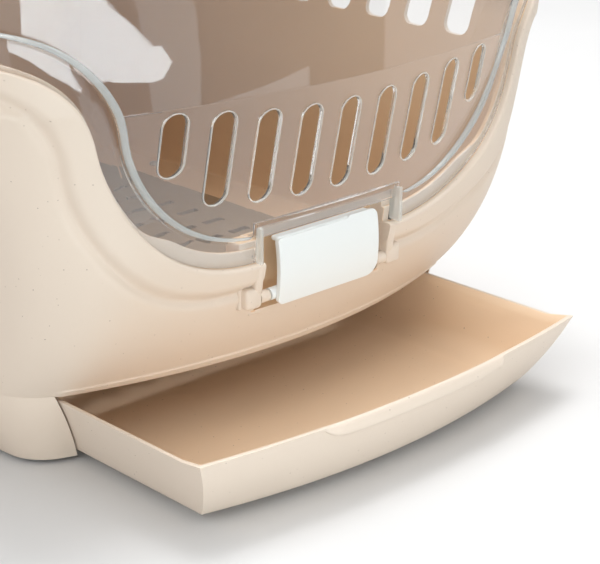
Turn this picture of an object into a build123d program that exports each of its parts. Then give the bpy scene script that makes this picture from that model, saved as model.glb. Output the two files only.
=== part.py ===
from build123d import *
import math
import os

# A hooded cat litter box: a bowl-shaped lower shell on a low base with a pull-out
# drawer, a clear visor that lifts at the front, and a rear hood with a filter and
# a handle. Millimetres, +Z up, the visor faces -Y, the base stands on Z = 0.

os.makedirs("parts", exist_ok=True)

# ---- plan of the lower shell, at the seam with the base and at its widest ----
SEAM_Z = 47.4
RIM_HALF_WIDTH = 213.8
SEAM_HALF_WIDTH = 175.5
WIDEST_RISE = 165.0
SIDE_FLARE_POWER = 0.65
FACE_Y = -250.0
SEAM_SETBACK = 30.8
FACE_RISE = 97.0
FACE_POWER = 2.4
FACE_RADIUS = 6000.0
SEAM_RADIUS = 409.0
SEAM_CURVE_POWER = 1.5
SIDE_RADIUS = 1900.0
SEAM_CORNER = 44.0
CORNER_POWER = 3.0
RIM_CORNER = 52.0
SHELL_WALL = 3.0
SHELL_FLOOR = 3.0
SHELL_LIP_OUT = 1.0
SHELL_LIP_HEIGHT = 5.0
SHELL_LIP_HALF_WIDTH = 146.0

# ---- opening of the lower shell, drawn from the front ----
OPENING_FOOT_Z = 112.4
OPENING_FLAT_HALF = 53.0
OPENING_BEND = 103.0
OPENING_SIDE_ANGLE = 78.0
SHOULDER_BEND = 55.6
OPENING_END_Y = -90.0
BAND_FOOT_Z = 95.5
BAND_BEND = 128.0
BAND_SHOULDER = 21.6
BAND_RAISE = 2.0
REBATE_DEPTH = 5.0
REBATE_GAP = 0.4
SHELF_WIDTH = 12.0
SHELF_BACK = 8.0
SHELF_WRAP = 4.0

# ---- clear visor and rear hood: one dome, parted across ----
PANEL_WALL = 2.6
FLANGE_OUT = 2.4
FLANGE_WALL = 2.2
FLANGE_WIDTH = 15.7
PANEL_FOOT_Z = 133.0
PANEL_FOOT_REACH = 251.8
PANEL_LEAN = 12.0
PANEL_TOP_Z = 208.0
PANEL_RADIUS = 572.0
DOME_CORNER = 62.0
DOME_START_Z = 240.0
ROOF_Z = 425.0
DOME_POWER = 2.4
DOME_HALF_WIDTH = 211.4
DOME_BACK_REACH = 247.6
ROOF_HALF_WIDTH = 112.0
ROOF_FRONT_REACH = 120.0
ROOF_BACK_REACH = 165.0
PARTING_Y = -30.0
PARTING_GAP = 1.0

# ---- slots and entry of the visor ----
SLOT_COUNT = 9
SLOT_PITCH = 27.9
SLOT_WIDTH = 14.0
SLOT_LENGTH = 51.0
SLOT_MID_Z = 171.5
SLOT_RISE_PER_MM2 = 0.00085
END_SLOT_LENGTH = 34.0
END_SLOT_MID_Z = 189.0
ENTRY_HALF_WIDTH = 100.0
ENTRY_HALF_HEIGHT = 80.0
ENTRY_MID_Y = -245.0
ENTRY_MID_Z = 346.0
ENTRY_TILT = 35.0
ENTRY_RING_OUT = 7.0
ENTRY_RING_WALL = 2.5
ENTRY_RING_GAP = 0.3

# ---- latch and its pocket ----
NOTCH_HALF_WIDTH = 52.0
NOTCH_TOP_Z = 133.0
NOTCH_LIP_Z = 127.0
NOTCH_LIP_BACK = 3.2
LATCH_HALF_WIDTH = 40.5
LATCH_FOOT_Z = 85.0
LATCH_TOP_Z = 124.0
LATCH_FRONT_Y = -248.2
LATCH_WALL = 3.0
LATCH_AXIS_Y = -242.4
LATCH_AXIS_Z = 91.0
LATCH_BARREL_R = 3.4
LATCH_PIN_R = 1.6
POCKET_HALF_WIDTH = 47.5
POCKET_BACK_Y = -232.5
POCKET_FOOT_Z = 82.4
POCKET_WALL = 3.0
EAR_WIDTH = 11.5
EAR_FRONT_Y = -248.6
EAR_FOOT_Z = 86.5
LATCH_PIN_END = 51.5

# ---- side vents of the lower shell ----
VENT_COUNT = 7
VENT_FIRST_Y = -165.0
VENT_PITCH = 37.0
VENT_WIDTH = 22.0
VENT_FOOT_Z = 186.0
VENT_TOP_Z = 229.0
VENT_CORNER = 7.0

# ---- base and drawer ----
FOOT_HEIGHT = 3.0
BASE_INSET = 17.0
BASE_WALL = 2.8
BASE_FLOOR = 2.5
BASE_BULGE = 2.2
DRAWER_GAP = 0.5
DRAWER_FOOT_Z = FOOT_HEIGHT + BASE_FLOOR + DRAWER_GAP
DRAWER_FRONT_HALF = 145.0
DRAWER_WALL_TOP_Z = 44.0
DRAWER_FRONT_TOP_Z = 46.8
DRAWER_TAPER_X = 18.5
DRAWER_TAPER_Y = 21.5
DRAWER_BOW = 13.2
DRAWER_FOOT_BOW = 16.5
DRAWER_WALL = 2.5
DRAWER_BULGE = 2.0
DRAWER_CLOSED_CORNER_Y = -191.6
DRAWER_BACK_Y = 172.0
DRAWER_OUT = 115.0
DRAWER_RAMP = 11.0
GRIP_HALF_WIDTH = 71.0
GRIP_OUT = 6.5
GRIP_HEIGHT = 9.0
DRAWER_FLOOR_EDGE_Y = -172.0
BAY_GAP = 1.2
BAY_WALL = 2.5
BUMPER_R = 3.5
BUMPER_THICK = 1.9
BUMPER_Z = 38.5

# ---- sieve, feet and screws ----
SIEVE_HALF_X = 132.0
SIEVE_HALF_Y = 170.0
SIEVE_THICK = 3.0
SIEVE_LEDGE = 9.0
SIEVE_GAP = 0.4
FOOT_X = 141.0
FOOT_FRONT_Y = -138.0
FOOT_R = 9.0
FOOT_SOCKET = 3.0
MIDDLE_PAD_R = 16.0
SCREW_X = 158.0
SCREW_Y = 100.0
SCREW_R = 1.9
SCREW_LENGTH = 14.0
SCREW_BOSS_R = 5.0
SCREW_HEAD_R = 3.8
SCREW_HEAD_H = 2.4
FIT = 0.05

# ---- hinge of the visor ----
HINGE_X = 70.0
HINGE_Y = -26.0
HINGE_Z = 431.0
HINGE_R = 5.0
HINGE_PIN_R = 2.0
HINGE_KNUCKLE = 15.0
HINGE_LUG = 6.0

# ---- carry handle ----
HANDLE_HALF_WIDTH = 84.0
HANDLE_Y = 60.0
HANDLE_Z = 432.6
HANDLE_EYE = 11.0
HANDLE_EYE_R = 7.0
HANDLE_BAR = 8.0
HANDLE_LENGTH = 76.0
HANDLE_LUG = 6.0
HANDLE_PIN_R = 2.5

# ---- filter well and its lid ----
WELL_HALF_X = 52.0
WELL_FRONT_Y = 26.0
WELL_BACK_Y = 92.0
WELL_DEPTH = 16.0
COVER_Z = 422.0
COVER_THICK = 2.8
COVER_AXIS_Y = 88.0
COVER_AXIS_Z = 422.2
COVER_BARREL_R = 2.6
COVER_PIN_R = 1.2

# ---- side clips ----
CLIP_Y = 120.0
CLIP_HALF_WIDTH = 18.0
CLIP_LUG = 6.0
CLIP_ROOT_X = 208.0
CLIP_AXIS_X = 219.6
CLIP_AXIS_Z = 220.0
CLIP_BARREL_R = 3.2
CLIP_PIN_R = 1.5
CLIP_WALL = 2.8
CLIP_LIP_X = 212.6
CLIP_LIP_Z = 256.4
CLIP_RIDGE_X = 214.6


# ---------------------------------------------------------------- plan outlines
def unit(dx, dy):
    """Direction of a plan vector, one millimetre long."""
    length = math.hypot(dx, dy)
    return dx / length, dy / length


def corner_centre(end_y, inward, end_radius, half, corner, mid_y):
    """Centre of the corner arc that is tangent to an end arc and to the side arc."""
    end_centre = end_y + inward * end_radius
    side_centre = half - SIDE_RADIUS
    reach_a = end_radius - corner
    reach_b = SIDE_RADIUS - corner
    dx = side_centre
    dy = mid_y - end_centre
    gap = math.hypot(dx, dy)
    along = (reach_a**2 - reach_b**2 + gap**2) / (2 * gap)
    across = math.sqrt(reach_a**2 - along**2)
    base_x = along * dx / gap
    base_y = end_centre + along * dy / gap
    first = (base_x + across * dy / gap, base_y - across * dx / gap)
    second = (base_x - across * dy / gap, base_y + across * dx / gap)
    return max(first, second)


def corner_points(end_y, inward, end_radius, half, corner, mid_y):
    """Points of the right-hand corner arc: on the end arc, its middle, on the side arc."""
    cx, cy = corner_centre(end_y, inward, end_radius, half, corner, mid_y)
    end_dir = unit(cx, cy - (end_y + inward * end_radius))
    side_dir = unit(cx - (half - SIDE_RADIUS), cy - mid_y)
    mid_dir = unit(end_dir[0] + side_dir[0], end_dir[1] + side_dir[1])
    return [(cx + corner * d[0], cy + corner * d[1]) for d in (end_dir, mid_dir, side_dir)]


def plan_face(z, front, back, half, front_radius, back_radius, corner):
    """Flat face of eight tangent arcs: a bowed rectangle with round corners."""
    mid_y = (front + back) / 2
    f_end, f_mid, f_side = corner_points(front, 1, front_radius, half, corner, mid_y)
    b_end, b_mid, b_side = corner_points(back, -1, back_radius, half, corner, mid_y)
    right = [f_end, f_mid, f_side, (half, mid_y), b_side, b_mid, b_end]
    left = [(-x, y) for x, y in reversed(right)]
    loop = [(0, front)] + right + [(0, back)] + left
    points = [Vector(x, y, z) for x, y in loop]
    count = len(points)
    edges = []
    for start in range(count - 1, 2 * count - 1, 2):
        a = points[start % count]
        m = points[(start + 1) % count]
        b = points[(start + 2) % count]
        edges.append(Edge.make_three_point_arc(a, m, b))
    return Face(Wire(edges))


# ---------------------------------------------------------------- lower shell surface
def shell_face(z, offset):
    """Plan of the lower shell at a height, grown by an offset."""
    rise = z - SEAM_Z
    rest = max(0.0, 1 - rise / FACE_RISE)
    front = FACE_Y + SEAM_SETBACK * rest**FACE_POWER - offset
    flare = max(0.0, 1 - rise / WIDEST_RISE) ** SIDE_FLARE_POWER
    half = RIM_HALF_WIDTH - (RIM_HALF_WIDTH - SEAM_HALF_WIDTH) * flare + offset
    bend = 1 / FACE_RADIUS + (1 / SEAM_RADIUS - 1 / FACE_RADIUS) * rest**SEAM_CURVE_POWER
    radius = 1 / bend + offset
    corner = RIM_CORNER - (RIM_CORNER - SEAM_CORNER) * rest**CORNER_POWER + offset
    return plan_face(z, front, -front, half, radius, radius, corner)


SHELL_STEPS = (0.0, 14.0, 30.0, 48.0, 70.0, 97.0, 135.0, 175.0, 216.0)


def shell_solid(offset, foot_z=SEAM_Z):
    """Solid inside the lower shell's outer surface, grown by an offset."""
    heights = [foot_z]
    heights += [SEAM_Z + step for step in SHELL_STEPS if SEAM_Z + step > foot_z + 4]
    return loft([shell_face(z, offset) for z in heights])


# ---------------------------------------------------------------- opening, seen from the front
def line_prism(foot_z, bend, shoulder):
    """Everything above an edge line given by its foot, its lower bend and its shoulder.

    Seen from the front the line is a wide U; along the sides and the back it is level.
    """
    angle = math.radians(OPENING_SIDE_ANGLE)
    sin_a = math.sin(angle)
    cos_a = math.cos(angle)
    low_z = foot_z + bend
    far_x = OPENING_FLAT_HALF + (bend + shoulder) * sin_a
    far_z = low_z - (bend + shoulder) * cos_a
    half = angle / 2
    right = [
        (OPENING_FLAT_HALF, foot_z),
        (OPENING_FLAT_HALF + bend * math.sin(half), low_z - bend * math.cos(half)),
        (OPENING_FLAT_HALF + bend * sin_a, low_z - bend * cos_a),
        (far_x - shoulder * math.sin(half), far_z + shoulder * math.cos(half)),
        (far_x, far_z + shoulder),
    ]
    wide = 2 * RIM_HALF_WIDTH
    high = 2 * ROOF_Z
    outer = [(wide, far_z + shoulder), (wide, high)]
    start_y = 2 * FACE_Y
    r = [Vector(x, start_y, z) for x, z in right]
    left = [Vector(-x, start_y, z) for x, z in right]
    o = [Vector(x, start_y, z) for x, z in outer]
    p = [Vector(-x, start_y, z) for x, z in outer]
    edges = [
        Edge.make_line(left[0], r[0]),
        Edge.make_three_point_arc(r[0], r[1], r[2]),
        Edge.make_three_point_arc(r[2], r[3], r[4]),
        Edge.make_line(r[4], o[0]),
        Edge.make_line(o[0], o[1]),
        Edge.make_line(o[1], p[1]),
        Edge.make_line(p[1], p[0]),
        Edge.make_line(p[0], left[4]),
        Edge.make_three_point_arc(left[4], left[3], left[2]),
        Edge.make_three_point_arc(left[2], left[1], left[0]),
    ]
    front = extrude(Face(Wire(edges)), amount=OPENING_END_Y - start_y, dir=(0, 1, 0))
    return front + block(-wide, wide, OPENING_END_Y - 1, -start_y, far_z + shoulder, high)


def opening_prism(inset):
    """Everything above the opening's edge line, the line moved inwards by an inset."""
    return line_prism(OPENING_FOOT_Z + inset, OPENING_BEND - inset, SHOULDER_BEND + inset)


def band_prism():
    """Everything above the crease where the raised band starts."""
    return line_prism(BAND_FOOT_Z, BAND_BEND, BAND_SHOULDER)


# ---------------------------------------------------------------- dome of visor and hood
def dome_reach(z):
    """How far the dome's front stands forward: it leans up to the panel's top edge."""
    rise = min(z, PANEL_TOP_Z) - PANEL_FOOT_Z
    return PANEL_FOOT_REACH + rise * math.tan(math.radians(PANEL_LEAN))


def dome_face(z, offset):
    """Plan of the dome at a height, grown by an offset."""
    share = (z - DOME_START_Z) / (ROOF_Z + offset - DOME_START_Z)
    share = min(1.0, max(0.0, share))
    shrink = (1 - share**DOME_POWER) ** (1 / DOME_POWER)
    reach = dome_reach(z)
    front = -(ROOF_FRONT_REACH + (reach - ROOF_FRONT_REACH) * shrink) - offset
    back = ROOF_BACK_REACH + (DOME_BACK_REACH - ROOF_BACK_REACH) * shrink + offset
    half = ROOF_HALF_WIDTH + (DOME_HALF_WIDTH - ROOF_HALF_WIDTH) * shrink + offset
    front_radius = PANEL_RADIUS + offset
    back_radius = FACE_RADIUS + offset
    return plan_face(z, front, back, half, front_radius, back_radius, DOME_CORNER + offset)


DOME_SHARES = (0.0, 0.22, 0.42, 0.6, 0.75, 0.87, 0.95, 0.99, 1.0)


def dome_solid(offset):
    """Solid inside the dome's outer surface, grown by an offset.

    The panel and the strip above it are straight, and the rounded part stands on them.
    """
    height = ROOF_Z + offset - DOME_START_Z
    straight = [OPENING_FOOT_Z, PANEL_TOP_Z, DOME_START_Z]
    rounded = [DOME_START_Z + share * height for share in DOME_SHARES]
    wall = loft([dome_face(z, offset) for z in straight], ruled=True)
    return wall + loft([dome_face(z, offset) for z in rounded])


def upper_shell(dome_in, dome_out):
    """Dome wall, step wall and flange of the upper shell, before it is parted."""
    inner_line = opening_prism(FLANGE_WIDTH - PANEL_WALL)
    bead_line = opening_prism(FLANGE_WIDTH)
    flange_line = opening_prism(0)
    flange_back = shell_solid(-FLANGE_OUT - FLANGE_WALL)
    flange_front = shell_solid(-FLANGE_OUT)
    dome_wall = (dome_out - dome_in) & inner_line
    strip = inner_line - bead_line
    step_wall = ((dome_out - flange_back) & strip) + ((flange_front - dome_in) & strip)
    flange = (flange_front - flange_back) & (flange_line - bead_line)
    return dome_wall + step_wall + flange


# ---------------------------------------------------------------- small helpers
def block(x0, x1, y0, y1, z0, z1):
    """Box between two corners."""
    middle = Pos((x0 + x1) / 2, (y0 + y1) / 2, (z0 + z1) / 2)
    return middle * Box(x1 - x0, y1 - y0, z1 - z0)


def rod_x(radius, x0, x1, y, z):
    """Round rod along X."""
    return Pos((x0 + x1) / 2, y, z) * Rot(0, 90, 0) * Cylinder(radius, x1 - x0)


def rod_y(radius, y0, y1, x, z):
    """Round rod along Y."""
    return Pos(x, (y0 + y1) / 2, z) * Rot(90, 0, 0) * Cylinder(radius, y1 - y0)


def rod_z(radius, z0, z1, x, y):
    """Upright round rod."""
    return Pos(x, y, (z0 + z1) / 2) * Cylinder(radius, z1 - z0)


def side_profile(points, x0, x1):
    """Prism along X over a closed outline given as (Y, Z) points."""
    corners = [Vector(x0, y, z) for y, z in points]
    return extrude(Face(Wire.make_polygon(corners, close=True)), amount=x1 - x0, dir=(1, 0, 0))


def both_sides(shape):
    """The shape and its mirror image across the middle plane."""
    return shape + mirror(shape, about=Plane.YZ)


def joined(shapes):
    """One compound of separate solids."""
    solids = []
    for shape in shapes:
        solids.extend(shape.solids())
    return Compound(children=solids)


# ---------------------------------------------------------------- base
def base_inset(z):
    """How far the base is drawn in at a height: it leans in to the floor, slightly full."""
    share = (z - FOOT_HEIGHT) / (SEAM_Z - FOOT_HEIGHT)
    return BASE_INSET * (1 - share) - BASE_BULGE * 4 * share * (1 - share)


def base_solid(extra, top_z):
    """Outer body of the base, drawn in by an extra amount, up to a height."""
    faces = []
    for share in (0.0, 0.3, 0.65, 1.0):
        z = FOOT_HEIGHT + share * (top_z - FOOT_HEIGHT)
        plan = shell_face(SEAM_Z, -base_inset(z) - extra)
        faces.append(Pos(0, 0, z - SEAM_Z) * plan)
    return loft(faces)


def bay_solid(grow, foot_z, top_z, back_y):
    """Space of the drawer: sides sloping like the drawer's ends, open to the front."""
    slope = DRAWER_TAPER_X / (DRAWER_FRONT_TOP_Z - DRAWER_FOOT_Z)
    low = DRAWER_FRONT_HALF - slope * (DRAWER_FRONT_TOP_Z - foot_z) + grow
    high = DRAWER_FRONT_HALF - slope * (DRAWER_FRONT_TOP_Z - top_z) + grow
    front = 1.6 * FACE_Y
    points = [(-low, foot_z), (low, foot_z), (high, top_z), (-high, top_z)]
    corners = [Vector(x, front, z) for x, z in points]
    outline = Face(Wire.make_polygon(corners, close=True))
    return extrude(outline, amount=back_y - front, dir=(0, 1, 0))



def foot_places():
    """Plan positions of the four feet."""
    return [(x, y) for x in (-FOOT_X, FOOT_X) for y in (FOOT_FRONT_Y, -FOOT_FRONT_Y)]


def screw_places():
    """Plan positions of the four screws between base and lower shell."""
    return [(x, y) for x in (-SCREW_X, SCREW_X) for y in (-SCREW_Y, SCREW_Y)]


def make_base():
    """Low frame with the drawer bay, hollow sides open underneath."""
    deck_z = SEAM_Z - BASE_WALL
    bay_back = DRAWER_BACK_Y + BAY_GAP
    outer = base_solid(0, SEAM_Z)
    bay = bay_solid(BAY_GAP, FOOT_HEIGHT + BASE_FLOOR, SEAM_Z + 1, bay_back)
    bay_skin = bay_solid(BAY_GAP + BAY_WALL, 0, SEAM_Z, bay_back + BAY_WALL)
    hollow = base_solid(BASE_WALL, SEAM_Z) & block(-300, 300, -300, 300, 0, deck_z)
    base = outer - bay - (hollow - bay_skin)
    base += rod_z(MIDDLE_PAD_R, 0, FOOT_HEIGHT + 1, 0, 0)
    floor_edge = block(-300, 300, -300, DRAWER_FLOOR_EDGE_Y, 0, DRAWER_FOOT_Z)
    base -= floor_edge & bay_solid(BAY_GAP, 0, DRAWER_FOOT_Z + 1, bay_back)
    for x, y in foot_places():
        boss = rod_z(FOOT_R + 2, FOOT_HEIGHT, FOOT_HEIGHT + FOOT_SOCKET + 3, x, y)
        base += boss & outer
        base -= rod_z(FOOT_R + FIT, 0, FOOT_HEIGHT + FOOT_SOCKET, x, y)
    for x, y in screw_places():
        base += rod_z(SCREW_BOSS_R, deck_z - SCREW_LENGTH, deck_z + 0.5, x, y)
        base -= rod_z(SCREW_R + FIT, SEAM_Z - SCREW_LENGTH, SEAM_Z, x, y)
    return base


def make_feet():
    """Four round rubber feet set in their sockets."""
    top = FOOT_HEIGHT + FOOT_SOCKET
    feet = []
    for x, y in foot_places():
        foot = rod_z(FOOT_R, 0, top, x, y)
        feet.append(chamfer(foot.faces().sort_by(Axis.Z)[0].edges(), 0.8))
    return joined(feet)


def make_screws():
    """Four screws from the shell's floor into the bosses of the base."""
    screws = []
    for x, y in screw_places():
        floor_top = SEAM_Z + SHELL_FLOOR
        shank = rod_z(SCREW_R, SEAM_Z - SCREW_LENGTH + 2, floor_top, x, y)
        head = rod_z(SCREW_HEAD_R, floor_top, floor_top + SCREW_HEAD_H, x, y)
        head = fillet(head.faces().sort_by(Axis.Z)[-1].edges(), 1.2)
        cross = block(x - 2, x + 2, y - 0.5, y + 0.5, floor_top + 1.2, floor_top + 4)
        cross += block(x - 0.5, x + 0.5, y - 2, y + 2, floor_top + 1.2, floor_top + 4)
        screws.append(shank + head - cross)
    return joined(screws)


# ---------------------------------------------------------------- drawer
def drawer_face(z, grow, bow_share):
    """Plan of the closed drawer at a height: bowed front, straight sides and back."""
    height = DRAWER_FRONT_TOP_Z - DRAWER_FOOT_Z
    down = (DRAWER_FRONT_TOP_Z - z) / height
    bulge = DRAWER_BULGE * 4 * down * (1 - down)
    half = DRAWER_FRONT_HALF - DRAWER_TAPER_X * down + grow
    corner_y = DRAWER_CLOSED_CORNER_Y + DRAWER_TAPER_Y * down - bulge - grow
    bow = DRAWER_BOW + (DRAWER_FOOT_BOW - DRAWER_BOW) * down
    back = DRAWER_BACK_Y - 8 * down + grow
    a = Vector(-half, corner_y, z)
    m = Vector(0, corner_y - bow * bow_share, z)
    b = Vector(half, corner_y, z)
    c = Vector(half, back, z)
    d = Vector(-half, back, z)
    edges = [Edge.make_three_point_arc(a, m, b), Edge.make_line(b, c)]
    edges += [Edge.make_line(c, d), Edge.make_line(d, a)]
    return Face(Wire(edges))


def drawer_solid(grow, foot_z, top_z):
    """Solid of the drawer's outside, grown by an amount, between two heights."""
    heights = [foot_z + share * (top_z - foot_z) for share in (0.0, 0.33, 0.67, 1.0)]
    return loft([drawer_face(z, grow, 1.0) for z in heights])


def make_drawer():
    """Shallow drawer with a bowed, leaning front and a thick pull lip."""
    outer = drawer_solid(0, DRAWER_FOOT_Z, DRAWER_FRONT_TOP_Z)
    inner = drawer_solid(-DRAWER_WALL, DRAWER_FOOT_Z + DRAWER_WALL, DRAWER_FRONT_TOP_Z + 1)
    tray = outer - inner
    ramp_y = DRAWER_CLOSED_CORNER_Y + DRAWER_RAMP
    top = DRAWER_FRONT_TOP_Z + 2
    drop = [(ramp_y, DRAWER_WALL_TOP_Z), (400, DRAWER_WALL_TOP_Z), (400, top)]
    drop += [(DRAWER_CLOSED_CORNER_Y + 3, top), (DRAWER_CLOSED_CORNER_Y + 3, top - 2)]
    tray -= side_profile(drop, -200, 200)
    lip_z = DRAWER_FRONT_TOP_Z - GRIP_HEIGHT
    grip_low = drawer_face(lip_z, GRIP_OUT * 0.45, 1.0)
    grip_mid = drawer_face(DRAWER_FRONT_TOP_Z - GRIP_HEIGHT * 0.45, GRIP_OUT * 0.5, 1.0)
    grip_top = drawer_face(DRAWER_FRONT_TOP_Z, GRIP_OUT * 0.5, 1.0)
    lip = loft([grip_low, grip_mid, grip_top]) - inner
    lip &= block(-GRIP_HALF_WIDTH, GRIP_HALF_WIDTH, -400, DRAWER_CLOSED_CORNER_Y, 0, 100)
    ends = [edge for edge in lip.edges() if is_grip_end(edge)]
    lip = fillet(ends, 2.5)
    return Pos(0, -DRAWER_OUT, 0) * (tray + lip)


def is_grip_end(edge):
    """True for the upright front edges at the two ends of the pull lip."""
    box = edge.bounding_box()
    upright = box.size.Z > GRIP_HEIGHT * 0.4 and box.size.X < 0.5
    at_end = abs(abs(edge.center().X) - GRIP_HALF_WIDTH) < 0.1
    face_y = DRAWER_CLOSED_CORNER_Y - DRAWER_BOW
    return upright and at_end and edge.center().Y < face_y + 3


def make_drawer_bumpers():
    """Two soft discs on the back wall of the bay that the closed drawer meets."""
    y = DRAWER_BACK_Y + BAY_GAP
    discs = [rod_y(BUMPER_R, y - BUMPER_THICK, y, x, BUMPER_Z) for x in (-90, 90)]
    return joined(discs)


# ---------------------------------------------------------------- lower shell
def pocket_space():
    """Hollow behind the latch."""
    half = POCKET_HALF_WIDTH
    return block(-half, half, 2 * FACE_Y, POCKET_BACK_Y, POCKET_FOOT_Z, OPENING_FOOT_Z + 30)


def make_ears():
    """Two upright ears beside the latch that carry its pins."""
    x0 = POCKET_HALF_WIDTH
    x1 = POCKET_HALF_WIDTH + EAR_WIDTH
    front = [(EAR_FRONT_Y, OPENING_FOOT_Z), (EAR_FRONT_Y, EAR_FOOT_Z + 4)]
    front += [(EAR_FRONT_Y + 4, EAR_FOOT_Z), (POCKET_BACK_Y, EAR_FOOT_Z)]
    front += [(POCKET_BACK_Y, OPENING_FOOT_Z)]
    ear = side_profile(front, x0, x1)
    return both_sides(ear)


def make_lower_shell():
    """Bowl of the litter box: raised band, rebate for the upper shell, pocket, vents."""
    outer = shell_solid(0)
    inner = shell_solid(-SHELL_WALL, SEAM_Z + SHELL_FLOOR)
    seat_line = opening_prism(SHELF_WIDTH)
    rebate_line = opening_prism(-REBATE_GAP)
    shelf_back = shell_solid(-SHELF_BACK)
    rebate_floor = shell_solid(-REBATE_DEPTH)
    band = shell_solid(BAND_RAISE) & band_prism()
    shelf = (outer & opening_prism(-SHELF_WRAP)) - shelf_back
    shell = outer + band - inner + shelf
    pocket_box = block(-POCKET_HALF_WIDTH - 3, POCKET_HALF_WIDTH + 3, 2 * FACE_Y,
                       POCKET_BACK_Y + POCKET_WALL, POCKET_FOOT_Z - 3, OPENING_FOOT_Z + SHELF_WIDTH)
    shell += pocket_box & outer
    shell += make_ears()
    shell -= seat_line
    shell -= rebate_line - rebate_floor
    shell -= pocket_space()
    lip = loft([shell_face(SEAM_Z, SHELL_LIP_OUT), shell_face(SEAM_Z + SHELL_LIP_HEIGHT, SHELL_LIP_OUT)])
    lip_room = block(-SHELL_LIP_HALF_WIDTH, SHELL_LIP_HALF_WIDTH, 2 * FACE_Y, -150, 0, 100)
    shell += (lip - inner) & lip_room
    shell -= rod_x(LATCH_PIN_R, -LATCH_PIN_END, LATCH_PIN_END, LATCH_AXIS_Y, LATCH_AXIS_Z)
    vent = RectangleRounded(VENT_WIDTH, VENT_TOP_Z - VENT_FOOT_Z, VENT_CORNER)
    vent_mid = (VENT_TOP_Z + VENT_FOOT_Z) / 2
    for index in range(VENT_COUNT):
        y = VENT_FIRST_Y + index * VENT_PITCH
        place = Plane(origin=(0, y, vent_mid), x_dir=(0, 1, 0), z_dir=(1, 0, 0))
        shell -= extrude(place * vent, amount=300, both=True)
    sieve_hole_x = SIEVE_HALF_X - SIEVE_LEDGE
    sieve_hole_y = SIEVE_HALF_Y - SIEVE_LEDGE
    shell -= block(-sieve_hole_x, sieve_hole_x, -sieve_hole_y, sieve_hole_y, 40, SEAM_Z + SHELL_FLOOR + 1)
    for x, y in screw_places():
        shell -= rod_z(SCREW_R + FIT, SEAM_Z - 1, SEAM_Z + SHELL_FLOOR + 1, x, y)
    shell += both_sides(make_clip_lugs())
    shell -= both_sides(clip_pin())
    return shell


def make_sieve():
    """Slotted plate over the opening in the shell's floor, with a locating rim."""
    foot = SEAM_Z + SHELL_FLOOR
    plate = block(-SIEVE_HALF_X, SIEVE_HALF_X, -SIEVE_HALF_Y, SIEVE_HALF_Y, foot, foot + SIEVE_THICK)
    plate = fillet(plate.edges().filter_by(Axis.Z), 12)
    rim_x = SIEVE_HALF_X - SIEVE_LEDGE - SIEVE_GAP
    rim_y = SIEVE_HALF_Y - SIEVE_LEDGE - SIEVE_GAP
    rim = block(-rim_x, rim_x, -rim_y, rim_y, foot - 2.4, foot)
    rim -= block(-rim_x + 2.5, rim_x - 2.5, -rim_y + 2.5, rim_y - 2.5, foot - 3, foot)
    plate += rim
    cut_z = foot - 1
    slots = []
    for row in range(9):
        for column in range(12):
            x = -96 + row * 24
            y = -143 + column * 26
            slots.append(block(x - 8, x + 8, y - 3, y + 3, cut_z, foot + SIEVE_THICK + 1))
    for slot in slots:
        plate -= slot
    return plate


# ---------------------------------------------------------------- latch
def latch_profile():
    """Side outline of the latch plate: gently bowed, with a lip turned back at the top."""
    front = LATCH_FRONT_Y
    foot = Vector(0, front + 0.9, LATCH_FOOT_Z)
    middle = Vector(0, front - 1.1, (LATCH_FOOT_Z + LATCH_TOP_Z) / 2)
    top = Vector(0, front + 1.2, LATCH_TOP_Z)
    lip = Vector(0, front + 7.2, LATCH_TOP_Z)
    lip_low = Vector(0, front + 7.2, LATCH_TOP_Z - 2.4)
    inner_top = Vector(0, front + 1.2 + LATCH_WALL, LATCH_TOP_Z - 2.4)
    inner_mid = Vector(0, front - 1.1 + LATCH_WALL, (LATCH_FOOT_Z + LATCH_TOP_Z) / 2)
    inner_foot = Vector(0, front + 0.9 + LATCH_WALL, LATCH_FOOT_Z)
    edges = [
        Edge.make_three_point_arc(foot, middle, top),
        Edge.make_line(top, lip),
        Edge.make_line(lip, lip_low),
        Edge.make_line(lip_low, inner_top),
        Edge.make_three_point_arc(inner_top, inner_mid, inner_foot),
        Edge.make_line(inner_foot, foot),
    ]
    return Face(Wire(edges))


def make_latch():
    """Bowed plate that turns on two pins and closes over the notch of the visor."""
    half = LATCH_HALF_WIDTH
    plate = extrude(latch_profile(), amount=half, dir=(1, 0, 0), both=True)
    middle_z = (LATCH_FOOT_Z + LATCH_TOP_Z) / 2
    height = LATCH_TOP_Z - LATCH_FOOT_Z
    place = Plane(origin=(0, 1.5 * FACE_Y, middle_z), x_dir=(1, 0, 0), z_dir=(0, 1, 0))
    front = place * RectangleRounded(2 * half, height, 6.5)
    plate &= extrude(front, amount=-FACE_Y)
    barrel = rod_x(LATCH_BARREL_R, -half + 2, half - 2, LATCH_AXIS_Y, LATCH_AXIS_Z)
    web = block(-half + 2, half - 2, LATCH_FRONT_Y + 1.2, LATCH_AXIS_Y, LATCH_AXIS_Z - 1.5,
                LATCH_AXIS_Z + 1.5)
    latch = plate + barrel + web
    bore = LATCH_PIN_R + FIT
    for x in (-half, half - 10):
        latch -= rod_x(bore, x, x + 10, LATCH_AXIS_Y, LATCH_AXIS_Z)
    return latch


def make_latch_pins():
    """Two short pins from the ears into the latch barrel."""
    start = LATCH_HALF_WIDTH - 9
    pin = rod_x(LATCH_PIN_R, start, LATCH_PIN_END, LATCH_AXIS_Y, LATCH_AXIS_Z)
    collar = rod_x(LATCH_PIN_R + 1.4, LATCH_HALF_WIDTH + 0.6, POCKET_HALF_WIDTH, LATCH_AXIS_Y, LATCH_AXIS_Z)
    return joined([pin + collar, mirror(pin + collar, about=Plane.YZ)])


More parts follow.
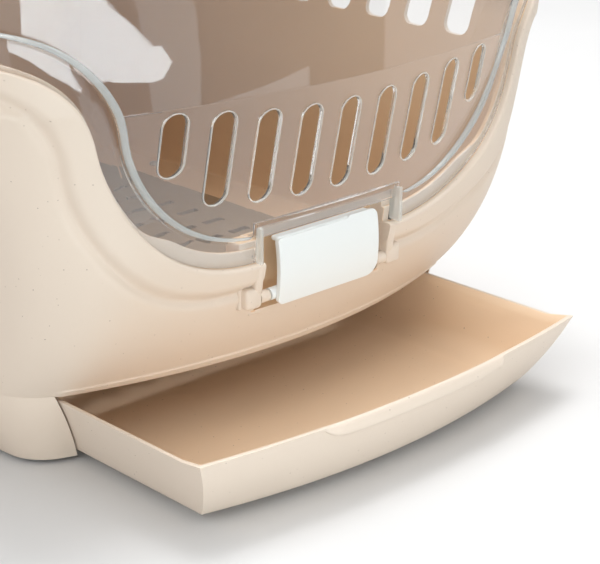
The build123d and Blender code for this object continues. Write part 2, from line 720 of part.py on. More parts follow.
# ---------------------------------------------------------------- visor
def notch_cheeks():
    """Two clear walls at the ends of the notch over the latch."""
    front = FACE_Y + FLANGE_OUT
    points = [(front + FLANGE_WALL, OPENING_FOOT_Z), (front, OPENING_FOOT_Z)]
    points += [(-PANEL_FOOT_REACH, NOTCH_TOP_Z - 2), (-PANEL_FOOT_REACH, NOTCH_TOP_Z + PANEL_WALL)]
    points += [(front + FLANGE_WALL, NOTCH_TOP_Z + PANEL_WALL)]
    return both_sides(side_profile(points, NOTCH_HALF_WIDTH, NOTCH_HALF_WIDTH + PANEL_WALL))


def notch_lip():
    """Ledge and hanging lip along the top of the notch."""
    half = NOTCH_HALF_WIDTH + 0.5
    back = -PANEL_FOOT_REACH + NOTCH_LIP_BACK + PANEL_WALL
    ledge = block(-half, half, -PANEL_FOOT_REACH, back, NOTCH_TOP_Z, NOTCH_TOP_Z + PANEL_WALL)
    lip = block(-half, half, back - PANEL_WALL, back, NOTCH_LIP_Z, NOTCH_TOP_Z + 0.5)
    return ledge + lip


def slot_cutters():
    """Nine upright slots side by side, the two at the ends shorter and higher."""
    cutters = []
    last = SLOT_COUNT // 2
    for index in range(-last, last + 1):
        x = index * SLOT_PITCH
        length = SLOT_LENGTH
        z = SLOT_MID_Z + SLOT_RISE_PER_MM2 * x**2
        if abs(index) == last:
            length = END_SLOT_LENGTH
            z = END_SLOT_MID_Z
        place = Plane(origin=(x, 1.3 * FACE_Y, z), x_dir=(1, 0, 0), z_dir=(0, 1, 0))
        outline = place * SlotOverall(length, SLOT_WIDTH, rotation=90)
        cutters.append(extrude(outline, amount=-0.5 * FACE_Y))
    return cutters


def entry_prism(grow):
    """Oval prism of the entry hole, its axis tilted up and forwards."""
    tilt = math.radians(ENTRY_TILT)
    outward = (0, -math.cos(tilt), math.sin(tilt))
    place = Plane(origin=(0, ENTRY_MID_Y, ENTRY_MID_Z), x_dir=(1, 0, 0), z_dir=outward)
    outline = place * Ellipse(ENTRY_HALF_WIDTH + grow, ENTRY_HALF_HEIGHT + grow)
    return extrude(outline, amount=90, both=True)


def visor_knuckles():
    """Two hinge knuckles of the visor with the webs that join them to its roof."""
    x0 = HINGE_X - HINGE_KNUCKLE / 2
    x1 = HINGE_X + HINGE_KNUCKLE / 2
    visor_edge = PARTING_Y - PARTING_GAP / 2
    low = ROOF_Z - PANEL_WALL
    web = [(visor_edge - 14, low), (visor_edge, low), (visor_edge, HINGE_Z - HINGE_R)]
    web += [(HINGE_Y, HINGE_Z - HINGE_R), (HINGE_Y, HINGE_Z + HINGE_R)]
    web += [(visor_edge - 2, HINGE_Z + HINGE_R - 1), (visor_edge - 14, ROOF_Z)]
    knuckle = side_profile(web, x0, x1) + rod_x(HINGE_R, x0, x1, HINGE_Y, HINGE_Z)
    knuckle -= rod_x(HINGE_PIN_R + FIT, x0 - 1, x1 + 1, HINGE_Y, HINGE_Z)
    return both_sides(knuckle)


def make_visor(upper, dome_out):
    """Clear front with flange, step, slots, entry hole, notch and hinge knuckles."""
    visor = upper & block(-300, 300, -400, PARTING_Y - PARTING_GAP / 2, 0, 500)
    half = NOTCH_HALF_WIDTH
    visor -= block(-half, half, -400, -150, 0, NOTCH_TOP_Z)
    visor += (notch_cheeks() + notch_lip()) & dome_out
    for cutter in slot_cutters():
        visor -= cutter
    visor -= entry_prism(0)
    return visor + visor_knuckles()


def make_entry_ring():
    """Oval trim ring that grips the edge of the entry hole from both sides."""
    gap = ENTRY_RING_GAP
    wall = ENTRY_RING_WALL
    face_out = dome_solid(gap + wall)
    face_in = dome_solid(gap)
    back_in = dome_solid(-PANEL_WALL - gap)
    back_out = dome_solid(-PANEL_WALL - gap - wall)
    bore = entry_prism(-gap - wall)
    front = (face_out - face_in) & entry_prism(ENTRY_RING_OUT)
    web = (face_out - back_out) & entry_prism(-gap)
    back = (back_in - back_out) & entry_prism(ENTRY_RING_OUT - 2)
    ring = front + web + back - bore
    ahead = block(-300, 300, -400, -60, 0, ROOF_Z + 20)
    return ring & ahead


def make_visor_pins():
    """Two steel pins of the visor hinge."""
    reach = HINGE_KNUCKLE / 2 + HINGE_LUG + 0.5
    pins = [rod_x(HINGE_PIN_R, x - reach, x + reach, HINGE_Y, HINGE_Z) for x in (-HINGE_X, HINGE_X)]
    return joined(pins)


# ---------------------------------------------------------------- rear hood
def hinge_lugs():
    """Lugs on the front edge of the hood's roof, two for each visor knuckle."""
    hood_edge = PARTING_Y + PARTING_GAP / 2
    top = HINGE_Z + HINGE_R
    side = [(hood_edge, ROOF_Z - 1), (hood_edge, ROOF_Z + 3), (HINGE_Y - 1, top)]
    side += [(HINGE_Y + 6, top), (HINGE_Y + 18, ROOF_Z - 1)]
    near = HINGE_X - HINGE_KNUCKLE / 2 - 0.5
    far = HINGE_X + HINGE_KNUCKLE / 2 + 0.5
    lugs = side_profile(side, near - HINGE_LUG, near) + side_profile(side, far, far + HINGE_LUG)
    lugs += rod_x(HINGE_R, near - HINGE_LUG, near, HINGE_Y, HINGE_Z)
    lugs += rod_x(HINGE_R, far, far + HINGE_LUG, HINGE_Y, HINGE_Z)
    return both_sides(lugs)


def handle_lugs():
    """Two lugs on the roof that carry the handle."""
    r = HANDLE_EYE_R
    side = [(HANDLE_Y - r - 5, ROOF_Z - 1), (HANDLE_Y - r, HANDLE_Z), (HANDLE_Y + r, HANDLE_Z)]
    side += [(HANDLE_Y + r + 5, ROOF_Z - 1)]
    x1 = HANDLE_HALF_WIDTH - HANDLE_EYE / 2 - 0.6
    x0 = x1 - HANDLE_LUG
    lug = side_profile(side, x0, x1) + rod_x(r, x0, x1, HANDLE_Y, HANDLE_Z)
    return both_sides(lug)


def filter_well(grow):
    """Box-shaped space of the filter in the roof."""
    floor = ROOF_Z - WELL_DEPTH - grow
    return block(-WELL_HALF_X - grow, WELL_HALF_X + grow, WELL_FRONT_Y - grow,
                 WELL_BACK_Y + grow, floor, ROOF_Z + (5 if grow == 0 else -0.5))


def make_hood(upper):
    """Rear dome with hinge lugs, handle lugs, filter well and the ridges of the clips."""
    hood = upper & block(-300, 300, PARTING_Y + PARTING_GAP / 2, 400, 0, 500)
    hood += hinge_lugs() + handle_lugs() + filter_well(PANEL_WALL) + both_sides(clip_ridge())
    hood -= filter_well(0)
    hood += both_sides(block(WELL_HALF_X - 3, WELL_HALF_X + 1, WELL_FRONT_Y + 6, WELL_BACK_Y - 12,
                             COVER_Z - 3.2, COVER_Z - 0.05))
    floor = ROOF_Z - WELL_DEPTH
    for index in range(9):
        x = (index - 4) * 10
        hood -= block(x - 2.5, x + 2.5, WELL_FRONT_Y + 7, WELL_BACK_Y - 7, floor - 5, floor + 1)
    hood -= rod_x(HINGE_PIN_R + 0.02, -120, 120, HINGE_Y, HINGE_Z)
    hood -= rod_x(HANDLE_PIN_R + 0.02, -120, 120, HANDLE_Y, HANDLE_Z)
    hood -= rod_x(COVER_PIN_R + 0.02, -WELL_HALF_X - 1.8, WELL_HALF_X + 1.8, COVER_AXIS_Y, COVER_AXIS_Z)
    return hood


# ---------------------------------------------------------------- filter
def make_filter_pad():
    """Carbon pad lying on the slotted floor of the well."""
    floor = ROOF_Z - WELL_DEPTH
    pad = block(-WELL_HALF_X + 2, WELL_HALF_X - 2, WELL_FRONT_Y + 2, WELL_BACK_Y - 8, floor, floor + 8)
    return fillet(pad.edges().filter_by(Axis.Z), 4)


def make_filter_cover():
    """Louvred lid of the filter well, hinged along its rear edge."""
    half = WELL_HALF_X - 0.6
    lid = block(-half, half, WELL_FRONT_Y + 0.6, COVER_AXIS_Y, COVER_Z, COVER_Z + COVER_THICK)
    lid = fillet(lid.edges().filter_by(Axis.Z).sort_by(Axis.Y)[:2], 4)
    lid += rod_x(COVER_BARREL_R, -half + 4, half - 4, COVER_AXIS_Y, COVER_AXIS_Z)
    for index in range(8):
        y = WELL_FRONT_Y + 9 + index * 5.6
        lid -= block(-half + 12, -3, y, y + 2.6, COVER_Z - 1, COVER_Z + 5)
        lid -= block(3, half - 12, y, y + 2.6, COVER_Z - 1, COVER_Z + 5)
    lid -= rod_x(COVER_PIN_R + FIT, -half, -half + 13, COVER_AXIS_Y, COVER_AXIS_Z)
    lid -= rod_x(COVER_PIN_R + FIT, half - 13, half, COVER_AXIS_Y, COVER_AXIS_Z)
    return lid


def make_filter_pins():
    """Two pins of the filter lid, set in the side walls of the well."""
    x1 = WELL_HALF_X + 1.6
    x0 = WELL_HALF_X - 12
    pin = rod_x(COVER_PIN_R, x0, x1, COVER_AXIS_Y, COVER_AXIS_Z)
    return joined([pin, mirror(pin, about=Plane.YZ)])


# ---------------------------------------------------------------- handle
def make_handle():
    """Carry handle: two arms and a grip bar, folded back on the roof."""
    half = HANDLE_HALF_WIDTH
    eye = HANDLE_EYE / 2
    low = HANDLE_Z - HANDLE_BAR / 2
    high = HANDLE_Z + HANDLE_BAR / 2
    end_y = HANDLE_Y + HANDLE_LENGTH
    arm = block(half - eye, half + eye, HANDLE_Y, end_y, low, high)
    arm += rod_x(HANDLE_EYE_R, half - eye, half + eye, HANDLE_Y, HANDLE_Z)
    bar = block(-half - eye, half + eye, end_y - 9, end_y + 9, low, high)
    bar = fillet(bar.edges().filter_by(Axis.Z).sort_by(Axis.Y)[2:], 8)
    bar = fillet(bar.edges().filter_by(Axis.X), 2.4)
    handle = both_sides(arm) + bar
    handle -= rod_x(HANDLE_PIN_R + FIT, -half - 20, half + 20, HANDLE_Y, HANDLE_Z)
    return handle


def make_handle_pins():
    """Two headed pins of the handle."""
    eye = HANDLE_EYE / 2
    x0 = HANDLE_HALF_WIDTH - eye - 0.6 - HANDLE_LUG
    x1 = HANDLE_HALF_WIDTH + eye + 0.4
    pin = rod_x(HANDLE_PIN_R, x0, x1, HANDLE_Y, HANDLE_Z)
    head = rod_x(HANDLE_PIN_R + 2, x1, x1 + 1.8, HANDLE_Y, HANDLE_Z)
    pin += head
    return joined([pin, mirror(pin, about=Plane.YZ)])


# ---------------------------------------------------------------- side clips
def make_clip_lugs():
    """Two lugs on the right side of the lower shell for one clip."""
    near = CLIP_HALF_WIDTH + 1
    far = near + CLIP_LUG
    side = [(CLIP_ROOT_X, CLIP_AXIS_Z - 9), (CLIP_AXIS_X + 3.5, CLIP_AXIS_Z - 3.5)]
    side += [(CLIP_AXIS_X + 3.5, CLIP_AXIS_Z + 3.5), (CLIP_ROOT_X, CLIP_AXIS_Z + 9)]
    lugs = None
    for y in (CLIP_Y - far, CLIP_Y + near):
        corners = [Vector(x, y, z) for x, z in side]
        outline = Face(Wire.make_polygon(corners, close=True))
        lug = extrude(outline, amount=CLIP_LUG, dir=(0, 1, 0))
        lugs = lug if lugs is None else lugs + lug
    return lugs


def clip_pin(radius=None):
    """Hole of the right clip's pin, or the pin itself at its own radius."""
    reach = CLIP_HALF_WIDTH + 1 + CLIP_LUG
    size = CLIP_PIN_R + 0.02 if radius is None else radius
    return rod_y(size, CLIP_Y - reach, CLIP_Y + reach, CLIP_AXIS_X, CLIP_AXIS_Z)


def clip_ridge():
    """Ridge on the right side of the hood that the clip closes over."""
    return block(CLIP_ROOT_X - 3, CLIP_RIDGE_X, CLIP_Y - 14, CLIP_Y + 14, CLIP_LIP_Z - 4, CLIP_LIP_Z - 0.4)


def make_clip():
    """Right-hand clip: barrel, plate and a lip turned in over the ridge."""
    back = CLIP_AXIS_X - 1.4
    y0 = CLIP_Y - CLIP_HALF_WIDTH
    y1 = CLIP_Y + CLIP_HALF_WIDTH
    plate = block(back, back + CLIP_WALL, y0, y1, CLIP_AXIS_Z, CLIP_LIP_Z + CLIP_WALL)
    plate = fillet(plate.edges().filter_by(Axis.X).sort_by(Axis.Z)[2:], 6)
    lip = block(CLIP_LIP_X, back + 1, y0 + 6, y1 - 6, CLIP_LIP_Z, CLIP_LIP_Z + CLIP_WALL)
    clip = plate + lip + rod_y(CLIP_BARREL_R, y0, y1, CLIP_AXIS_X, CLIP_AXIS_Z)
    clip += rod_y(1.6, y0 + 8, y1 - 8, back + CLIP_WALL, CLIP_LIP_Z - 5)
    return clip - rod_y(CLIP_PIN_R + FIT, y0 - 1, y1 + 1, CLIP_AXIS_X, CLIP_AXIS_Z)


# ---------------------------------------------------------------- all parts
def save(name, shape):
    """Write one node."""
    export_step(shape, f"parts/{name}.step")


def main():
    """Build every node and write it."""
    dome_out = dome_solid(0)
    dome_in = dome_solid(-PANEL_WALL)
    upper = upper_shell(dome_in, dome_out)
    save("base", make_base())
    save("feet", make_feet())
    save("shell_screws", make_screws())
    save("drawer", make_drawer())
    save("drawer_bumpers", make_drawer_bumpers())
    save("lower_shell", make_lower_shell())
    save("sieve", make_sieve())
    save("latch", make_latch())
    save("latch_pins", make_latch_pins())
    save("visor", make_visor(upper, dome_out))
    save("entry_ring", make_entry_ring())
    save("visor_pins", make_visor_pins())
    save("hood", make_hood(upper))
    save("filter_pad", make_filter_pad())
    save("filter_cover", make_filter_cover())
    save("filter_cover_pins", make_filter_pins())
    save("handle", make_handle())
    save("handle_pins", make_handle_pins())
    clip = make_clip()
    save("clip_right", clip)
    save("clip_left", mirror(clip, about=Plane.YZ))
    pin = clip_pin(CLIP_PIN_R)
    save("clip_pins", joined([pin, mirror(pin, about=Plane.YZ)]))


if __name__ == "__main__":
    main()
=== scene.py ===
import logging
import math
from dataclasses import dataclass, field, replace
from enum import Enum

import bmesh
import bpy
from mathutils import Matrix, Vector
from mathutils.bvhtree import BVHTree


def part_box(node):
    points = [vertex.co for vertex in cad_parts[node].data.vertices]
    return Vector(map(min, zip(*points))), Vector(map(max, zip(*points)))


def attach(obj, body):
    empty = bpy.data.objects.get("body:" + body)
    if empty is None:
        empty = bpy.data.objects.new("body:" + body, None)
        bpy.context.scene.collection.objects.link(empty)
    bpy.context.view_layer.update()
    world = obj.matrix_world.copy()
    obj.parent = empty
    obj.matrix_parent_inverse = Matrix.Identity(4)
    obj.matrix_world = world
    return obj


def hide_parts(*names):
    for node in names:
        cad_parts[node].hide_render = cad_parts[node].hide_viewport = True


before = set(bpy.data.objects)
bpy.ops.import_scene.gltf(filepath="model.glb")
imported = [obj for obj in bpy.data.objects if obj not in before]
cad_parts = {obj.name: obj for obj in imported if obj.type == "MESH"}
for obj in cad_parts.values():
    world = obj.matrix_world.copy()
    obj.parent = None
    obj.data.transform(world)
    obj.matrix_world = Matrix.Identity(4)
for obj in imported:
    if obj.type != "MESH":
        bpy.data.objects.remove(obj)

LOG = logging.getLogger("litter_box")
Tree = bpy.types.NodeTree
Socket = bpy.types.NodeSocket
Material = bpy.types.Material
Piece = bpy.types.Object
Pair = tuple[float, float]
Point = tuple[float, float, float]
Outline = tuple[Pair, ...]
Ring = list[Point]

# Metres in a millimetre; the box's middle in metres; the latch pin's axis in millimetres.
MM = 0.001
BOX_MIDDLE_Z = 0.24
PIN_Y, PIN_Z = -242.4, 91.0
# Lip share of a drawer ring that has nothing to do with the pull lip.
NO_LIP = -1.0


class Slot(Enum):
    """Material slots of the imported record."""

    SHELL = "shell_plastic"
    CLEAR = "clear_plastic"
    WHITE = "white_plastic"
    RUBBER = "rubber_grey"
    STEEL = "pin_steel"
    FOAM = "carbon_foam"


class Body(Enum):
    """Bodies that the scene's own pieces ride on."""

    BODY = "body"
    DRAWER = "drawer"
    VISOR = "visor"
    LATCH = "latch"


class Look(Enum):
    """Finishes that only some pieces of a slot get; several of them hold painted shade and bounce light."""

    # Painted shade: darker, warmer beige for the shell's inner wall, floor and latch pocket.
    INSIDE = "beige_inner_painted_shade"
    # Painted bounce light and shade: warmer, brighter orange for the drawer's inside.
    TRAY = "beige_tray_painted_bounce"
    # Painted shade: the beige sieve drawn dark brown.
    SIEVE = "beige_sieve_painted_shade"
    # Beige plastic outside; painted shade on walls that face the box's middle.
    DOME = "beige_dome_plastic_inner_shade"
    POST = "clear_post_plastic"
    RIM = "clear_rim_plastic"
    BEAD = "clear_bead_plastic"
    LEDGE = "clear_ledge_plastic"


# ------------------------------------------------------------------ node helpers
def add_node(
    tree: Tree, kind: str, inputs: dict[str | int, object] | None = None,
    **settings: object,
) -> bpy.types.Node:
    """Adds a node to a tree.

    Args:
        tree: the node tree.
        kind: the node's type name.
        inputs: what each input gets, by name or number: a plain value, or the socket to link.
        settings: the node's own fields, set before its inputs.

    Returns:
        The new node.
    """
    node = tree.nodes.new(kind)
    for name, value in settings.items():
        setattr(node, name, value)
    for key, value in (inputs or {}).items():
        if isinstance(value, Socket):
            tree.links.new(value, node.inputs[key])
        else:
            node.inputs[key].default_value = value
    return node


def combine(tree: Tree, operation: str, first: Socket, second: Socket) -> Socket:
    """Result of one Math node on two values."""
    return add_node(tree, "ShaderNodeMath", {0: first, 1: second}, operation=operation).outputs[0]


def spread(tree: Tree, value: Socket, low: float, high: float) -> Socket:
    """A value of 0 to 1, stretched to run from low to high."""
    inputs = {"Value": value, "To Min": low, "To Max": high}
    return add_node(tree, "ShaderNodeMapRange", inputs).outputs["Result"]


def blend_colours(tree: Tree, share: Socket, first: object, second: object) -> Socket:
    """Mix of two colours, each a socket or four numbers."""
    inputs = {"Factor": share, "A": first, "B": second}
    return add_node(tree, "ShaderNodeMix", inputs, data_type="RGBA").outputs["Result"]


def noise(tree: Tree, **inputs: object) -> Socket:
    """Value of a noise texture with the given inputs."""
    return add_node(tree, "ShaderNodeTexNoise", inputs).outputs["Fac"]


def new_material(name: str) -> tuple[Material, Tree, bpy.types.Node]:
    """New material.

    Args:
        name: its name.

    Returns:
        The material, its node tree and its main shader.
    """
    material = bpy.data.materials.new(name)
    material.use_nodes = True
    return material, material.node_tree, material.node_tree.nodes["Principled BSDF"]


def socket(group: Tree, name: str, way: str, kind: str, value: float | None = None) -> str:
    """Adds one socket to a node group's interface.

    Args:
        group: the node group.
        name: the socket's name.
        way: INPUT or OUTPUT.
        kind: the socket's type name.
        value: default value of an input.

    Returns:
        The socket's identifier.
    """
    made = group.interface.new_socket(name=name, in_out=way, socket_type=kind)
    if value is not None:
        made.default_value = value
    return made.identifier


def moulded_group() -> Tree:
    """Builds the group for moulded plastic: flecks, slow tone, wear, fine grain, and a mask of walls facing
    inwards where shade is painted.

    Returns:
        The node group with outputs Flecks, Tone, Wear, Height and Inner.
    """
    group = bpy.data.node_groups.new("moulded_plastic", "ShaderNodeTree")
    sizes = {
        "Fleck scale": 260.0, "Fleck size": 0.085, "Fleck share": 0.12,
        "Tone scale": 9.0, "Grain scale": 900.0,
    }
    for name, value in sizes.items():
        socket(group, name, "INPUT", "NodeSocketFloat", value)
    for name in ("Flecks", "Tone", "Wear", "Height", "Inner"):
        socket(group, name, "OUTPUT", "NodeSocketFloat")
    given = group.nodes.new("NodeGroupInput").outputs
    texture = group.nodes.new("ShaderNodeTexCoord").outputs
    place = texture["Object"]
    cells = add_node(group, "ShaderNodeTexVoronoi", {
        "Randomness": 1.0, "Vector": place, "Scale": given["Fleck scale"],
    }).outputs
    near = combine(group, "LESS_THAN", cells["Distance"], given["Fleck size"])
    pick = add_node(group, "ShaderNodeSeparateColor", {"Color": cells["Color"]}).outputs
    chosen = combine(group, "LESS_THAN", pick["Red"], given["Fleck share"])
    both = combine(group, "MULTIPLY", near, chosen)
    from_middle = add_node(
        group, "ShaderNodeVectorMath", {0: place, 1: (0.0, 0.0, BOX_MIDDLE_Z)}, operation="SUBTRACT"
    )
    unit = add_node(
        group, "ShaderNodeVectorMath", {0: from_middle.outputs["Vector"]}, operation="NORMALIZE"
    )
    facing = add_node(group, "ShaderNodeVectorMath", {
        0: unit.outputs["Vector"], 1: texture["Normal"],
    }, operation="DOT_PRODUCT")
    # Mask of walls facing the box's middle, where the inner colour paints shade.
    inner = add_node(group, "ShaderNodeMapRange", {
        "From Min": -0.25, "From Max": -0.05, "To Min": 1.0, "To Max": 0.0,
        "Value": facing.outputs["Value"],
    })
    add_node(group, "NodeGroupOutput", {
        "Flecks": combine(group, "MULTIPLY", both, pick["Green"]),
        "Tone": noise(group, Vector=place, Scale=given["Tone scale"], Detail=3.0),
        "Wear": noise(group, Vector=place, Scale=45.0, Detail=6.0, Distortion=0.6),
        "Height": noise(group, Vector=place, Scale=given["Grain scale"], Detail=2.0),
        "Inner": inner.outputs["Result"],
    })
    return group


@dataclass(frozen=True)
class Finish:
    """A moulded or machined finish, made from the shared group.

    Attributes:
        name: material name.
        colour: main linear colour.
        shade: colour of the darker tone.
        rough: lowest and highest roughness.
        fleck: colour of the flecks.
        fleck_share: share of cells that hold a fleck.
        metallic: 1 for bare metal.
        bump: strength of the grain.
        grain_scale: fineness of the grain.
        grain_depth: depth of the grain in metres.
        specular: specular level.
        alpha: how solid the finish looks.
        inner: painted shade colour for walls that face the middle of the box, or None.
    """

    name: str
    colour: Point
    shade: Point
    rough: Pair = (0.42, 0.55)
    fleck: Point = (0.30, 0.21, 0.15)
    fleck_share: float = 0.0
    metallic: float = 0.0
    bump: float = 0.06
    grain_scale: float = 900.0
    grain_depth: float = 0.0004
    specular: float = 0.5
    alpha: float = 1.0
    inner: Point | None = None

    def build(self, group: Tree) -> Material:
        """Makes the material.

        Args:
            group: the shared moulded plastic group.

        Returns:
            The finished material.
        """
        material, tree, shader = new_material(self.name)
        sizes = {"Fleck share": self.fleck_share, "Grain scale": self.grain_scale}
        effect = add_node(tree, "ShaderNodeGroup", sizes, node_tree=group).outputs
        tone = blend_colours(tree, effect["Tone"], (*self.shade, 1), (*self.colour, 1))
        surface = blend_colours(tree, effect["Flecks"], tone, (*self.fleck, 1))
        # Painted shade on walls that face the box's middle.
        if self.inner:
            surface = blend_colours(tree, effect["Inner"], surface, (*self.inner, 1))
        bump = add_node(tree, "ShaderNodeBump", {
            "Strength": self.bump, "Distance": self.grain_depth, "Height": effect["Height"],
        })
        tree.links.new(surface, shader.inputs["Base Color"])
        tree.links.new(spread(tree, effect["Wear"], *self.rough), shader.inputs["Roughness"])
        tree.links.new(bump.outputs["Normal"], shader.inputs["Normal"])
        shader.inputs["Alpha"].default_value = self.alpha
        shader.inputs["Metallic"].default_value = self.metallic
        shader.inputs["Specular IOR Level"].default_value = self.specular
        return material


@dataclass(frozen=True)
class ClearFinish:
    """Clear moulded plastic that lets lamp light through.

    Attributes:
        name: material name.
        tint: linear colour of the plastic.
        ior: refraction.
        clear: share of light that passes; the rest is haze.
        rough: lowest and highest roughness.
        lit: share of lamp light that passes.
    """

    name: str = "clear_visor_plastic"
    tint: Point = (0.93, 0.915, 0.90)
    ior: float = 1.49
    clear: float = 0.957
    rough: Pair = (0.0, 0.03)
    lit: float = 0.9

    def build(self, group: Tree) -> Material:
        """Makes the clear material.

        Args:
            group: the shared moulded plastic group.

        Returns:
            The clear material.
        """
        material, tree, shader = new_material(self.name)
        shader.inputs["Base Color"].default_value = (*self.tint, 1)
        shader.inputs["Transmission Weight"].default_value = self.clear
        shader.inputs["IOR"].default_value = self.ior
        effect = add_node(tree, "ShaderNodeGroup", node_tree=group).outputs
        tree.links.new(spread(tree, effect["Wear"], *self.rough), shader.inputs["Roughness"])
        path = tree.nodes.new("ShaderNodeLightPath").outputs
        through = add_node(tree, "ShaderNodeBsdfTransparent", {"Color": (self.lit, self.lit, self.lit, 1)})
        mix = add_node(tree, "ShaderNodeMixShader", {
            "Fac": combine(tree, "MAXIMUM", path["Is Shadow Ray"], path["Is Diffuse Ray"]),
            1: shader.outputs["BSDF"], 2: through.outputs["BSDF"],
        })
        tree.links.new(mix.outputs["Shader"], tree.nodes["Material Output"].inputs["Surface"])
        return material


@dataclass
class FinishSet:
    """All the finishes of the box: one for each material slot, and the special looks."""

    made: dict[Slot, Material] = field(default_factory=dict)
    looks: dict[Look, Material] = field(default_factory=dict)

    def build(self) -> None:
        """Makes each finish once."""
        group = moulded_group()
        beige = Finish("beige_shell_plastic", (0.72, 0.61, 0.505), (0.70, 0.59, 0.485), fleck_share=0.42)
        # Darker, warmer copy of the beige: painted shade and bounce light for the insides.
        deep = Finish("", (0.71, 0.505, 0.32), (0.68, 0.47, 0.29), fleck_share=0.36)
        clear = Finish("", (0.78, 0.78, 0.73), (0.72, 0.72, 0.67), (0.06, 0.14), bump=0.0, alpha=0.4)
        special = {
            Look.INSIDE: deep,
            # Drawer inside: painted bounce light and shade.
            Look.TRAY: replace(deep, colour=(0.90, 0.69, 0.49), shade=(0.87, 0.66, 0.465)),
            # Sieve: dark brown that is painted shade.
            Look.SIEVE: replace(deep, colour=(0.31, 0.228, 0.15), shade=(0.29, 0.21, 0.138)),
            # Dome: beige outside, painted shade on inward walls.
            Look.DOME: Finish("", beige.colour, (0.69, 0.58, 0.475), inner=(0.60, 0.385, 0.22), bump=0.03),
            Look.POST: clear,
            Look.RIM: replace(
                clear, colour=(0.84, 0.83, 0.78), shade=(0.74, 0.73, 0.68), rough=(0.04, 0.1), alpha=0.36
            ),
            Look.BEAD: replace(
                clear, colour=(0.60, 0.63, 0.62), shade=(0.54, 0.57, 0.56), rough=(0.08, 0.16), alpha=0.5
            ),
            Look.LEDGE: replace(
                clear, colour=(0.46, 0.40, 0.345), shade=(0.42, 0.365, 0.31), rough=(0.12, 0.22), alpha=0.55
            ),
        }
        for look, finish in special.items():
            self.looks[look] = replace(finish, name=look.value).build(group)
        packed = {
            Slot.SHELL: beige,
            Slot.CLEAR: ClearFinish(),
            Slot.WHITE: Finish("white_latch_plastic", (0.82, 0.84, 0.82), (0.77, 0.79, 0.775), (0.36, 0.5)),
            Slot.RUBBER: Finish(
                "foot_rubber", (0.045, 0.042, 0.04), (0.03, 0.028, 0.027), (0.7, 0.85), bump=0.15
            ),
            Slot.STEEL: Finish(
                "pin_steel", (0.6, 0.6, 0.6), (0.5, 0.5, 0.5), (0.22, 0.38), metallic=1.0, bump=0.03
            ),
            Slot.FOAM: Finish(
                "carbon_foam", (0.03, 0.03, 0.032), (0.012, 0.012, 0.013), (0.9, 1.0), bump=0.9,
                grain_scale=420.0,
            ),
        }
        for slot, finish in packed.items():
            self.made[slot] = finish.build(group)

    def dress_nodes(self) -> None:
        """Gives each carried-over node its finish."""
        # The hood and base get the dome material, with painted shade on their inward walls.
        dome = self.looks[Look.DOME]
        # The sieve gets a dark brown that is painted shade.
        own = {"hood": dome, "base": dome, "sieve": self.looks[Look.SIEVE]}
        for name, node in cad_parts.items():
            packed = node.data.materials[0].name.split(".")[0]
            node.data.materials[0] = own.get(name, self.made[Slot(packed)])
            LOG.info("dressed %s with %s", name, packed)


# ------------------------------------------------------------------ shape rules shared by the pieces
@dataclass(frozen=True)
class EdgeLine:
    """A wide U seen from the front: flat foot, lower bend, shoulder, then level. Millimetres.

    Attributes:
        foot_z: height of the flat foot.
        bend: radius of the lower bend.
        shoulder: radius of the shoulder.
        flat_half: half length of the flat foot.
        angle: slope of the U's sides in degrees.
    """

    foot_z: float
    bend: float
    shoulder: float
    flat_half: float = 53.0
    angle: float = 78.0

    def far(self) -> Pair:
        """Centre of the shoulder arc.

        Returns:
            Its (x, z).
        """
        turn = math.radians(self.angle)
        reach = self.bend + self.shoulder
        x = self.flat_half + reach * math.sin(turn)
        return x, self.foot_z + self.bend - reach * math.cos(turn)

    def level(self) -> float:
        """Height of the level part of the line."""
        return self.far()[1] + self.shoulder

    def inside(self, x: float, z: float, behind: bool) -> float:
        """Distance above the line.

        Args:
            x: sideways place, right half only.
            z: height.
            behind: true for the rear half, where the line is level.

        Returns:
            Signed distance in millimetres, positive above the line.
        """
        far_x, far_z = self.far()
        if behind or x >= far_x:
            return z - self.level()
        if x <= self.flat_half:
            return z - self.foot_z
        low_z = self.foot_z + self.bend
        if math.atan2(x - self.flat_half, low_z - z) < math.radians(self.angle):
            return self.bend - math.hypot(x - self.flat_half, z - low_z)
        return math.hypot(x - far_x, z - far_z) - self.shoulder

    def stations(self, inset: float, steps: int) -> list[Pair]:
        """Points along the right half of the line, moved inwards.

        Args:
            inset: how far the line is moved towards the opening.
            steps: points on each arc.

        Returns:
            (x, z) pairs from the middle to the shoulder's end.
        """
        far_x, far_z = self.far()
        low_z = self.foot_z + self.bend
        turn = math.radians(self.angle)
        found = [(self.flat_half * i / 10, self.foot_z + inset) for i in range(10)]
        for i in range(steps):
            a = turn * i / steps
            reach = self.bend - inset
            found.append((self.flat_half + reach * math.sin(a), low_z - reach * math.cos(a)))
        for i in range(steps + 1):
            a = turn * (1 - i / steps)
            reach = self.shoulder + inset
            found.append((far_x - reach * math.sin(a), far_z + reach * math.cos(a)))
        return found


OPENING = EdgeLine(112.4, 103.0, 55.6)
BAND = EdgeLine(97.3, 104.2, 52.0, 66.6, 81.3)


